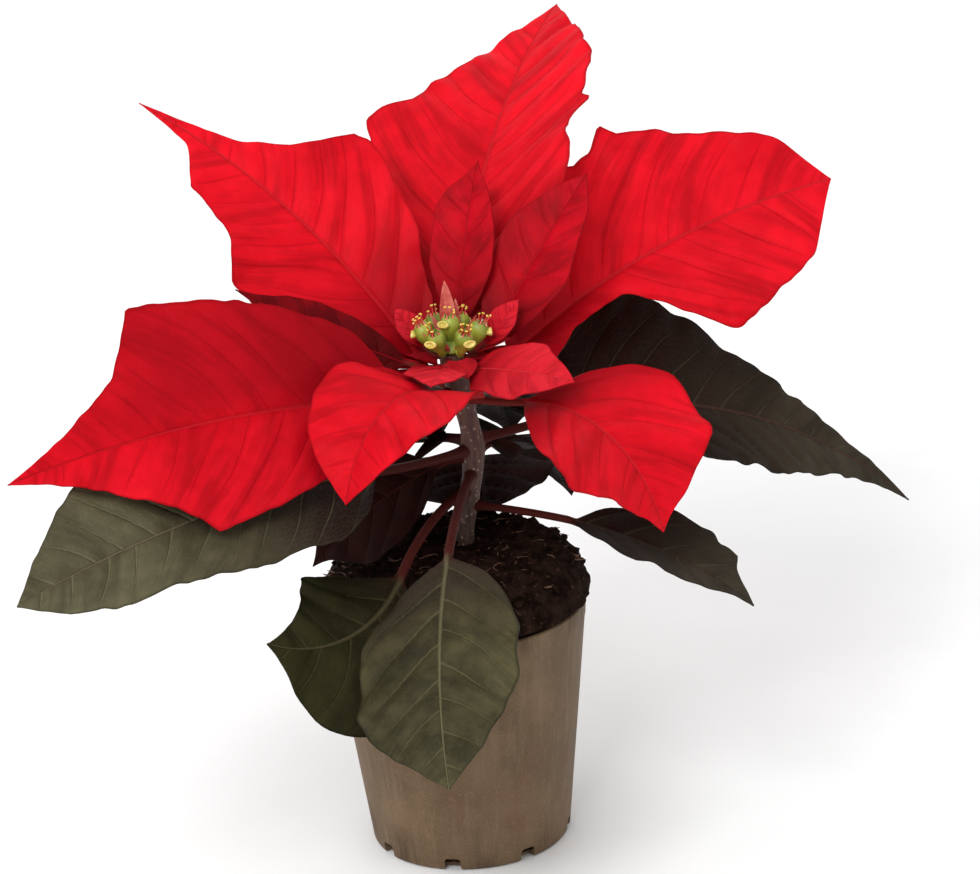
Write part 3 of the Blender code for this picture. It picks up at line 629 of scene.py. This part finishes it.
def soil_look():
    make = Nodes("peat")
    coarse = make.noise(260.0, 4.0, 0.65)
    fine = make.noise(1500.0, 3.0, 0.7)
    spots = make.noise(700.0, 2.0, 0.5)
    colour = make.mix(make.ramp(coarse, 0.35, 0.65), (0.006, 0.003, 0.002), (0.022, 0.011, 0.008))
    colour = make.mix(make.ramp(spots, 0.62, 0.72, 0.0, 0.7), colour, (0.075, 0.036, 0.02))
    height = make.times(fine, 0.5, coarse)
    return make.finish(colour, 0.95, make.bump(height, 0.5 * MM), Specular_IOR_Level=0.03)


def fibre_look():
    make = Nodes("peat_fibre")
    streak = make.noise(900.0, 3.0)
    colour = make.mix(make.ramp(streak, 0.3, 0.7), (0.045, 0.02, 0.011), (0.16, 0.08, 0.042))
    return make.finish(colour, 0.9, make.bump(streak, 0.15 * MM))


def pot_look():
    """Recycled brown plastic: fine speckle, faint upright flow lines, scuffs and smears of soil."""
    make = Nodes("pot_plastic")
    place = make.place()
    flow = make.stretched(place, (1.0, 1.0, 0.06))
    lines = make.noise(420.0, 4.0, 0.6, flow)
    cloud = make.noise(55.0, 4.0, 0.6)
    speck = make.noise(2600.0, 2.0, 0.6)
    smear = make.noise(90.0, 5.0, 0.7, flow, 0.6)
    height = make.add("SeparateXYZ", place).outputs[2]
    colour = make.mix(make.ramp(cloud, 0.35, 0.68), (0.112, 0.07, 0.035), (0.16, 0.101, 0.053))
    spots = make.noise(70.0, 3.0, 0.6, make.add("VectorMath", place, (0.3, 0.3, 0.3)).outputs[0])
    rusty = make.ramp(spots, 0.5, 0.72, 0.0, 0.5)
    rusty = make.times(rusty, make.ramp(height, 0.05, 0.01))
    colour = make.mix(rusty, colour, (0.15, 0.062, 0.036))
    colour = make.mix(make.ramp(lines, 0.45, 0.75, 0.0, 0.35), colour, (0.215, 0.145, 0.09))
    colour = make.mix(make.ramp(speck, 0.55, 0.75, 0.0, 0.5), colour, (0.25, 0.18, 0.115))
    colour = make.mix(make.ramp(speck, 0.42, 0.25, 0.0, 0.5), colour, (0.075, 0.045, 0.028))
    foot = make.ramp(height, 0.016, 0.0, 0.0, 0.8)
    rim = make.ramp(height, 0.052, 0.06, 0.0, 0.6)
    dirty = make.times(make.math("ADD", foot, rim), make.ramp(smear, 0.45, 0.7))
    colour = make.mix(dirty, colour, (0.04, 0.024, 0.016))
    rough = make.times(smear, 0.25, 0.48)
    rough = make.times(dirty, 0.3, rough)
    relief = make.times(speck, 0.35, make.times(lines, 0.65))
    return make.finish(colour, rough, make.bump(relief, 0.12 * MM, 0.7), Specular_IOR_Level=0.25)


def stem_look():
    """Grey-brown bark low down, fresher red-brown skin above, with pale pores."""
    make = Nodes("stem_bark")
    place = make.place()
    tall = make.stretched(place, (1.0, 1.0, 0.18))
    streak = make.noise(1100.0, 4.0, 0.6, tall)
    cloud = make.noise(170.0, 3.0)
    pores = make.fill(make.add("TexVoronoi"), Vector=place, Scale=620.0)
    height = make.add("SeparateXYZ", place).outputs[2]
    low = make.mix(make.ramp(streak, 0.35, 0.65), (0.026, 0.01, 0.007), (0.08, 0.04, 0.026))
    high = make.mix(make.ramp(streak, 0.35, 0.65), (0.05, 0.011, 0.008), (0.1, 0.032, 0.018))
    colour = make.mix(make.ramp(make.times(cloud, 0.012, height), 0.08, 0.112), low, high)
    colour = make.mix(make.ramp(pores, 0.26, 0.12, 0.0, 0.65), colour, (0.3, 0.2, 0.14))
    relief = make.times(pores, -0.4, streak)
    return make.finish(colour, 0.62, make.bump(relief, 0.25 * MM))


def flesh(name, dark, light, rough, scale=900.0, relief=0.06, **shine):
    """Small soft flower parts: mottled skin with a fine grain."""
    make = Nodes(name)
    spots = make.noise(scale, 3.0)
    cloud = make.noise(scale / 5, 2.0)
    colour = make.mix(make.ramp(cloud, 0.35, 0.65), dark, light)
    colour = make.mix(make.ramp(spots, 0.5, 0.8, 0.0, 0.5), colour, tuple(min(1.0, 1.6 * c) for c in light))
    return make.finish(colour, rough, make.bump(spots, relief * MM), **shine)


# Pieces

def put_in_scene(name, data):
    thing = bpy.data.objects.new(name, data)
    bpy.context.scene.collection.objects.link(thing)
    return thing


def add_piece(name, mesh, looks, nodes):
    """Puts a mesh in the scene in place of nodes of the part."""
    for look in looks:
        mesh.materials.append(look)
    thing = put_in_scene(name, mesh)
    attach(thing, "root")
    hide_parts(*nodes)
    return thing


def build_blades():
    kinds = {
        "bract": (blade_looks(BRACT_LOOKS, BRACT_SKIN), BRACT_QUILT, BRACT_THICK),
        "leaf": (blade_looks(LEAF_LOOKS, LEAF_SKIN), LEAF_QUILT, LEAF_THICK),
    }
    for number, leaf in enumerate(BLADES):
        name, kind, wide = leaf["name"], leaf["kind"], leaf["wide"]
        looks, quilt, thick = kinds[kind]
        leaf.update(seed=number + 1, veins=max(LEAST_VEINS, round(leaf["length"] / VEIN_SPACING)))
        leaf.update(quilt=quilt * wide, ruffle=RUFFLE * wide, thick=thick)
        mesh = blade_mesh(leaf)
        height = leaf["seat"] * MM
        turn = radians(leaf["heading"])
        reach = STEM_RADIUS + SEAT_GAP
        place = Vector((stem_x(height) + reach * cos(turn), reach * sin(turn), height))
        mesh.transform(Matrix.Translation(place) @ Matrix.Rotation(turn, 4, "Z"))
        faces = (looks[leaf["top"]], looks[leaf["under"]])
        add_piece(name + "_dressed", mesh, faces, (name,))


class Parts:
    """Collects many small closed shapes into one mesh, each with its material's number."""

    def __init__(self):
        self.points = []
        self.faces = []
        self.looks = []

    def add(self, points, faces, look=0):
        start = len(self.points)
        self.points.extend(tuple(p) for p in points)
        self.faces.extend(tuple(start + i for i in f) for f in faces)
        self.looks.extend([look] * len(faces))

    def rings(self, rings, look=0):
        """Skin of equal rings, closed at both ends."""
        count = len(rings[0])
        points = [p for ring in rings for p in ring]
        faces = []
        for r in range(len(rings) - 1):
            for k in range(count):
                n = (k + 1) % count
                faces.append((r * count + k, r * count + n, (r + 1) * count + n, (r + 1) * count + k))
        faces.append(tuple(range(count))[::-1])
        faces.append(tuple((len(rings) - 1) * count + k for k in range(count)))
        self.add(points, faces, look)

    def lathe(self, profile, sides, place, look=0, lobes=0, depth=0.0):
        """A turned shape from (radius, height) in millimetres, fluted where lobes is given."""
        rings = []
        for r, z in profile:
            ring = []
            for a in turns(sides):
                radius = r * (1 + depth * cos(lobes * a)) if lobes else r
                ring.append(place @ Vector((radius * cos(a) * MM, radius * sin(a) * MM, z * MM)))
            rings.append(ring)
        self.rings(rings, look)

    def tube(self, path, radii, sides, look=0):
        """A round rod along a path of points."""
        rings = []
        for i, point in enumerate(path):
            way = path[min(i + 1, len(path) - 1)] - path[max(i - 1, 0)]
            turn = way.to_track_quat("Z", "Y")
            ring = []
            for a in turns(sides):
                ring.append(point + turn @ Vector((radii[i] * cos(a), radii[i] * sin(a), 0)))
            rings.append(ring)
        self.rings(rings, look)

    def mesh(self, name, smooth_angle):
        mesh = bpy.data.meshes.new(name)
        mesh.from_pydata(self.points, [], self.faces)
        mesh.polygons.foreach_set("material_index", self.looks)
        mesh.polygons.foreach_set("use_smooth", [True] * len(self.faces))
        work = bmesh.new()
        work.from_mesh(mesh)
        bmesh.ops.recalc_face_normals(work, faces=work.faces)
        work.to_mesh(mesh)
        work.free()
        mesh.set_sharp_from_angle(angle=radians(smooth_angle))
        return mesh


def pot_radius(height):
    """Outer radius of the tapered pot."""
    return POT_FOOT_RADIUS + (POT_RIM_RADIUS - POT_FOOT_RADIUS) * height / POT_HEIGHT


def build_pot():
    """A thin moulded shell: rolled rim, faint step below it, foot ring with drain notches."""
    sides = 144
    rim, foot, wall = POT_RIM_RADIUS, POT_FOOT_RADIUS, POT_WALL
    outer = [(foot - 0.6 * MM, 0.0), (foot - 0.15 * MM, 0.15 * MM)]
    outer += [(pot_radius(h * MM), h * MM) for h in (0.6, 3, 6, 10, 16, 22, 28, 34, 40, 46, 52, 55.2)]
    outer += [(pot_radius(55.5 * MM) + 0.12 * MM, 55.6 * MM), (rim - 0.2 * MM, 58.6 * MM)]
    outer += [(rim, 59.2 * MM), (rim, 59.7 * MM), (rim - 0.3 * MM, POT_HEIGHT)]
    inner = [(rim - 0.7 * MM, POT_HEIGHT), (rim - wall, 59.7 * MM), (rim - wall - 0.1 * MM, 58.5 * MM)]
    inner += [(pot_radius(h * MM) - wall, h * MM) for h in (46, 34, 22, 10)]
    inner += [(pot_radius(POT_FLOOR) - wall, POT_FLOOR), (foot * 0.5, POT_FLOOR), (2 * MM, POT_FLOOR)]
    rings = []
    for r, z in outer + inner:
        ring = []
        for a in turns(sides):
            warp = 0.1 * MM * sin(2 * a + 0.6) * z / POT_HEIGHT + 0.05 * MM * sin(5 * a + 40 * z)
            ring.append(Vector(((r + warp) * cos(a), (r + warp) * sin(a), z)))
        rings.append(ring)
    parts = Parts()
    parts.rings(rings)
    thing = add_piece("pot_dressed", parts.mesh("pot_dressed", 40), (pot_look(),), ("pot",))
    cut = bmesh.new()
    for k in range(DRAIN_NOTCHES):
        turn = DRAIN_TURN + 2 * pi * k / DRAIN_NOTCHES
        place = Matrix.Rotation(turn, 4, "Z") @ Matrix.Translation((foot, 0, DRAIN_HEIGHT / 2 - MM))
        size = Matrix.Diagonal((5 * MM, DRAIN_WIDTH, DRAIN_HEIGHT + 2 * MM, 1))
        bmesh.ops.create_cube(cut, size=1.0, matrix=place @ size)
    edges = [e for e in cut.edges if all(v.co.z > MM for v in e.verts)]
    bmesh.ops.bevel(cut, geom=edges, offset=0.8 * MM, segments=3, profile=0.5, affect="EDGES")
    mesh = bpy.data.meshes.new("notch_cutter")
    cut.to_mesh(mesh)
    cut.free()
    cutter = put_in_scene("notch_cutter", mesh)
    notch = thing.modifiers.new("notches", "BOOLEAN")
    notch.object = cutter
    notch.solver = "EXACT"
    bpy.context.view_layer.update()
    seen = thing.evaluated_get(bpy.context.evaluated_depsgraph_get())
    carved = bpy.data.meshes.new_from_object(seen)
    thing.modifiers.clear()
    thing.data = carved
    bpy.data.objects.remove(cutter)


def lump(place, size):
    return noise.noise(place / size)


def soil_centre(share):
    """Where a ring of the mound has its middle: the inner rings gather round the stem."""
    return STEM_OFFSET * float(smooth((0.9 - share) / 0.7))


def soil_height(share):
    return POT_HEIGHT + SOIL_GAP + SOIL_DOME_HEIGHT * sqrt(max(0.0, 1 - share ** 5))


def build_soil():
    """The mound of peat, with crumbs and fibres lying on it."""
    sides = 200
    rings = []
    for height in (POT_FLOOR + SOIL_GAP, 20 * MM, 40 * MM, POT_HEIGHT - 2 * MM, POT_HEIGHT + SOIL_GAP):
        radius = pot_radius(min(height, POT_HEIGHT)) - POT_WALL - SOIL_GAP
        rings.append([Vector((radius * cos(a), radius * sin(a), height)) for a in turns(sides)])
    for share in np.linspace(1.0, 0.09, 74) ** 0.75:
        centre = soil_centre(share)
        height = soil_height(share) if share < 0.999 else POT_HEIGHT + 1.2 * MM
        ring = []
        for a in turns(sides):
            out = Vector((cos(a), sin(a), 0))
            point = Vector((centre, 0, height)) + out * SOIL_DOME_RADIUS * float(share)
            big = 0.7 * MM * (1.2 * lump(point, 5 * MM) + 0.7 * lump(point, 2.2 * MM))
            crumb = 0.45 * MM * (abs(lump(point, 1.3 * MM)) + 0.6 * abs(lump(point, 0.7 * MM)))
            steep = float(smooth((share - 0.75) / 0.2))
            point += out * (big + 0.6 * crumb) * steep
            point.z += (big + crumb) * (1 - steep)
            ring.append(point)
        rings.append(ring)
    parts = Parts()
    parts.rings(rings)
    scatter_crumbs(parts)
    looks = (soil_look(), fibre_look())
    add_piece("soil_dressed", parts.mesh("soil_dressed", 80), looks, ("soil",))


def scatter_crumbs(parts):
    rng = random.Random(4)
    ball = bmesh.new()
    bmesh.ops.create_icosphere(ball, subdivisions=2, radius=1.0)
    ball_points = [v.co.copy() for v in ball.verts]
    ball_faces = [tuple(v.index for v in f.verts) for f in ball.faces]
    ball.free()

    def spot():
        share = sqrt(rng.random()) * 0.97
        a = rng.uniform(0, 2 * pi)
        radius = SOIL_DOME_RADIUS * share
        return Vector((soil_centre(share) + radius * cos(a), radius * sin(a), soil_height(share)))

    for n in range(CRUMBS):
        place = spot()
        size = rng.choice((0.4, 0.5, 0.7, 0.9, 1.3)) * MM * rng.uniform(0.8, 1.2)
        turn = Matrix.Rotation(rng.uniform(0, 2 * pi), 3, (rng.random(), rng.random(), rng.random() + 0.1))
        stretch = Vector((rng.uniform(0.8, 1.4), rng.uniform(0.7, 1.1), rng.uniform(0.5, 0.9)))
        points = []
        for p in ball_points:
            bumpy = p * (1 + 0.35 * noise.noise(p * 1.3 + Vector((n, 0, 0))))
            shaped = Vector([u * v for u, v in zip(bumpy, stretch)])
            points.append(place + turn @ shaped * size)
        parts.add(points, ball_faces, 0)
    for n in range(FIBRES):
        place = spot() + Vector((0, 0, rng.uniform(0.1, 0.5) * MM))
        a = rng.uniform(0, 2 * pi)
        length = rng.uniform(2.0, 6.5) * MM
        bend = rng.uniform(-0.25, 0.25)
        path = []
        for i in range(6):
            t = i / 5 - 0.5
            flat = Vector((cos(a + bend * t * 6), sin(a + bend * t * 6), rng.uniform(-0.12, 0.12)))
            path.append(place + flat * length * t)
        radius = rng.uniform(0.09, 0.24) * MM
        parts.tube(path, [radius * w for w in (0.4, 0.9, 1.0, 1.0, 0.8, 0.3)], 6, 1)


def build_stem():
    """The woody shoot: ridged bark, a swollen ring and a scar under every stalk."""
    sides, rows = 28, 150
    rings = []
    for i in range(rows + 1):
        height = STEM_BOTTOM + (STEM_TOP - STEM_BOTTOM) * i / rows
        ring = []
        for a in turns(sides):
            way = Vector((cos(a), sin(a), 0))
            ridge = lump(Vector((way.x * 2.2, way.y * 2.2, height / MM * 0.12)), 1.0)
            radius = BARK_RADIUS_MM + BARK_RIDGES_MM * ridge
            for leaf in BLADES:
                over = (height / MM - leaf["seat"]) / SCAR_SPREAD_MM
                if abs(over) < 2.5:
                    turn = radians(leaf["heading"])
                    facing = max(0.0, way.x * cos(turn) + way.y * sin(turn))
                    swell = SCAR_RING_MM + SCAR_SWELL_MM * facing ** 3 * leaf["stalk_radius"]
                    radius += swell * np.exp(-over * over)
            radius = min(radius, BARK_RADIUS_MOST_MM)
            ring.append(Vector((stem_x(height), 0, height)) + way * radius * MM)
        rings.append(ring)
    parts = Parts()
    parts.rings(rings)
    for turn, height, out, drop, wide in YOUNG_LEAVES:
        seat = Vector((stem_x(height * MM), 0, height * MM))
        add_tongue(parts, seat, turn, out, -drop, wide, 0.0, 1)
    # painted shade: the young leaves' near-black purple stands in for the shade behind the stalks
    young = flesh("young_leaf_painted_shade", (0.01, 0.0026, 0.0018), (0.021, 0.0056, 0.0038), 0.6, 600.0, 0.1,
                  Specular_IOR_Level=0.05)
    add_piece("stem_dressed", parts.mesh("stem_dressed", 60), (stem_look(), young), ("stem",))


def build_bloom():
    """Flower cups with yellow glands, red filaments and pollen, among small orange and red bracts."""
    rng = random.Random(12)
    parts = Parts()
    green, lip, red, pollen, bractlet, scarlet = range(6)
    centre = Vector((stem_x(STEM_TOP), 0, STEM_TOP + 0.3 * MM))
    knob = [(2.2, -0.2), (2.9, 0.5), (2.7, 1.5), (1.5, 2.6), (0.4, 2.9)]
    parts.lathe(knob, 20, Matrix.Translation(centre), green)
    cup = [(0.5, -2.7), (0.8, -2.5), (1.15, -0.9), (1.75, 0.4), (2.2, 1.6), (2.3, 2.5),
           (2.15, 3.4), (1.75, 4.1), (1.45, 4.35), (1.2, 4.2), (1.0, 3.6), (0.4, 3.4)]
    mouth = [(0.35, -0.9), (0.85, -0.5), (1.2, 0.1), (1.28, 0.5), (1.15, 0.8), (0.9, 0.85),
             (0.7, 0.55), (0.25, 0.2)]
    grain = [(0.06, -0.2), (0.2, -0.1), (0.22, 0.1), (0.07, 0.24)]

    def hair(place, low, high, radii, look):
        path = [place @ (low.lerp(high, t) * MM) for t in (0, 0.5, 1.0)]
        parts.tube(path, [radius * MM for radius in radii], 6, look)

    for k in range(CUP_COUNT):
        middle = k == CUP_COUNT - 1
        ring_turn = 2 * pi * k / (CUP_COUNT - 1) + rng.uniform(-0.15, 0.15)
        reach = 0.0 if middle else CUP_RING * rng.uniform(0.93, 1.07)
        lean = 0.0 if middle else radians(rng.uniform(20, 28))
        rise = (4.2 if middle else 2.6) * MM + rng.uniform(0, 0.5) * MM
        spot = centre + Vector((reach * cos(ring_turn), reach * sin(ring_turn), rise))
        place = Matrix.Translation(spot) @ Matrix.Rotation(ring_turn, 4, "Z") @ Matrix.Rotation(lean, 4, "Y")
        parts.lathe(cup, 30, place, green, 5, 0.035)
        foot = centre + Vector((0, 0, 1.2 * MM))
        low = place @ Vector((0, 0, -2.2 * MM))
        path = [foot.lerp(low, t) for t in (0, 0.35, 0.7, 1.0)]
        parts.tube(path, [1.0 * MM, 0.85 * MM, 0.8 * MM, 0.95 * MM], 14, green)
        # fringe round the mouth
        for j in range(10):
            a = 2 * pi * j / 10 + 0.2 * k
            base = Vector((1.5 * cos(a), 1.5 * sin(a), 4.1))
            top = Vector((1.05 * cos(a + 0.1), 1.05 * sin(a + 0.1), 5.0))
            hair(place, base, top, (0.28, 0.2, 0.06), bractlet if j % 2 else green)
        # nectar glands: a fat two-lipped mouth on the outer side
        for gland in range(1 if middle else rng.choice((1, 2))):
            turn = rng.uniform(0, 6.28) if middle else (0.0 if gland == 0 else 1.5)
            seat = place @ Matrix.Rotation(turn, 4, "Z") @ Matrix.Translation((2.35 * MM, 0, 2.9 * MM))
            seat = seat @ Matrix.Rotation(radians(58), 4, "Y")
            parts.lathe(mouth, 26, seat @ Matrix.Diagonal((0.72, 1.25, 1.0, 1)), lip)
        # stamens
        for j in range(7 if k % 2 else 4):
            a = 2 * pi * j / 7 + k
            base = Vector((0.55 * cos(a), 0.55 * sin(a), 3.4))
            tall = rng.uniform(1.9, 3.2)
            top = base + Vector((0.75 * cos(a), 0.75 * sin(a), tall))
            hair(place, base, top, (0.16, 0.13, 0.12), red)
            for way in (-1, 1):
                head = place @ ((top + Vector((0.17 * way * sin(a), -0.17 * way * cos(a), 0.1))) * MM)
                parts.lathe(grain, 8, Matrix.Translation(head), pollen)
    for tongues, look in ((UPRIGHT_TONGUES, bractlet), (SPREAD_TONGUES, scarlet)):
        for tongue in tongues:
            add_tongue(parts, centre, *tongue, look)
    looks = (
        flesh("cup_green", (0.13, 0.19, 0.018), (0.3, 0.34, 0.035), 0.42, 700.0, 0.08),
        flesh("gland_yellow", (0.55, 0.42, 0.06), (0.8, 0.66, 0.2), 0.28, 1200.0, 0.03,
              Coat_Weight=0.5, Coat_Roughness=0.1),
        flesh("filament_red", (0.48, 0.03, 0.02), (0.66, 0.08, 0.04), 0.45),
        flesh("pollen_yellow", (0.7, 0.45, 0.05), (0.85, 0.65, 0.15), 0.8, 2500.0, 0.06),
        flesh("bractlet_orange", (0.44, 0.04, 0.03), (0.66, 0.2, 0.14), 0.5),
        # darker red for the spread bractlets: partly their own red, partly painted shade round the foot of
        # the cluster
        flesh("bractlet_red_painted_shade", (0.26, 0.004, 0.009), (0.42, 0.008, 0.015), 0.55, 500.0, 0.08,
              Specular_IOR_Level=0.1),
    )
    add_piece("bloom_dressed", parts.mesh("bloom_dressed", 50), looks, ("bloom",))


def add_tongue(parts, centre, turn, out, tall, wide, start, look):
    """A small pointed blade that begins the height start above the centre and leans out, in millimetres."""
    a = radians(turn)
    foot = centre + Vector((0.45 * out * cos(a), 0.45 * out * sin(a), start)) * MM
    over = Vector((-sin(a), cos(a), 0))
    face = Vector((tall * cos(a), tall * sin(a), -0.65 * out)).normalized()
    rings = []
    for i in range(11):
        t = i / 10
        lean = out * (0.65 * t - 0.01)
        spine = foot + Vector((lean * cos(a), lean * sin(a), tall * t)) * MM
        half = wide * (sin(pi * min(1.0, 0.16 + 0.84 * t)) ** 0.8) * MM + 0.05 * MM
        thick = 0.22 * (1 - 0.6 * t) * MM
        ring = []
        for b in turns(12):
            cup = -0.35 * half * cos(b) ** 2
            ring.append(spine + over * half * cos(b) + face * (thick * sin(b) + cup))
        rings.append(ring)
    parts.rings(rings, look)


# Studio

def build_studio():
    floor = bpy.data.meshes.new("floor")
    edge = 3.0
    sides = 64
    ring = [(edge * cos(a), edge * sin(a), -0.3 * MM) for a in turns(sides)]
    floor.from_pydata(ring, [], [tuple(range(sides))])
    paper = Nodes("floor_paper")
    grain = paper.noise(25.0, 3.0)
    tone = paper.mix(paper.ramp(grain, 0.3, 0.7), (0.92,) * 3, (0.94,) * 3)
    floor.materials.append(paper.finish(tone, 0.9))
    thing = put_in_scene("floor", floor)

    world = bpy.data.worlds.new("studio")
    world.use_nodes = True
    back = world.node_tree.nodes["Background"]
    back.inputs[0].default_value = (1, 1, 1, 1)
    back.inputs[1].default_value = 0.86
    bpy.context.scene.world = world

    middle = Vector((0, 0, 0.1))

    def soft_box(name, place, size, power):
        light = bpy.data.lights.new(name, "AREA")
        light.shape = "RECTANGLE"
        light.size, light.size_y = size
        light.energy = power
        lamp = put_in_scene(name, light)
        lamp.location = place
        lamp.rotation_euler = (middle - Vector(place)).to_track_quat("-Z", "Y").to_euler()

    soft_box("key", (-0.35, -0.85, 0.95), (0.5, 0.5), 8.5)
    soft_box("fill", (-1.0, -0.1, 0.35), (0.8, 0.5), 1.6)
    soft_box("rim", (0.1, 0.9, 0.8), (0.7, 0.5), 1.5)


def build_camera():
    """The photograph's viewpoint: a long lens, a little above the plant, with a slight tilt."""
    elevation, roll, distance = radians(20.2), radians(-3.79), 0.85
    target = Vector((0.0106, 0.0, 0.1005))
    back = Vector((0, -cos(elevation), sin(elevation)))
    right = Vector((1, 0, 0))
    up = back.cross(right)
    side = cos(roll) * right + sin(roll) * up
    top = -sin(roll) * right + cos(roll) * up
    data = bpy.data.cameras.new("camera")
    data.sensor_fit = "HORIZONTAL"
    data.sensor_width = 36.0
    data.lens = 132.9
    data.clip_start = 0.01
    camera = put_in_scene("camera", data)
    rows = [(side[k], top[k], back[k], target[k] + back[k] * distance) for k in range(3)]
    camera.matrix_world = Matrix((*rows, (0, 0, 0, 1)))
    bpy.context.scene.camera = camera


build_camera()
build_studio()
build_pot()
build_soil()
build_stem()
build_blades()
build_bloom()
bpy.context.scene.view_settings.view_transform = "Standard"

bpy.context.view_layer.update()
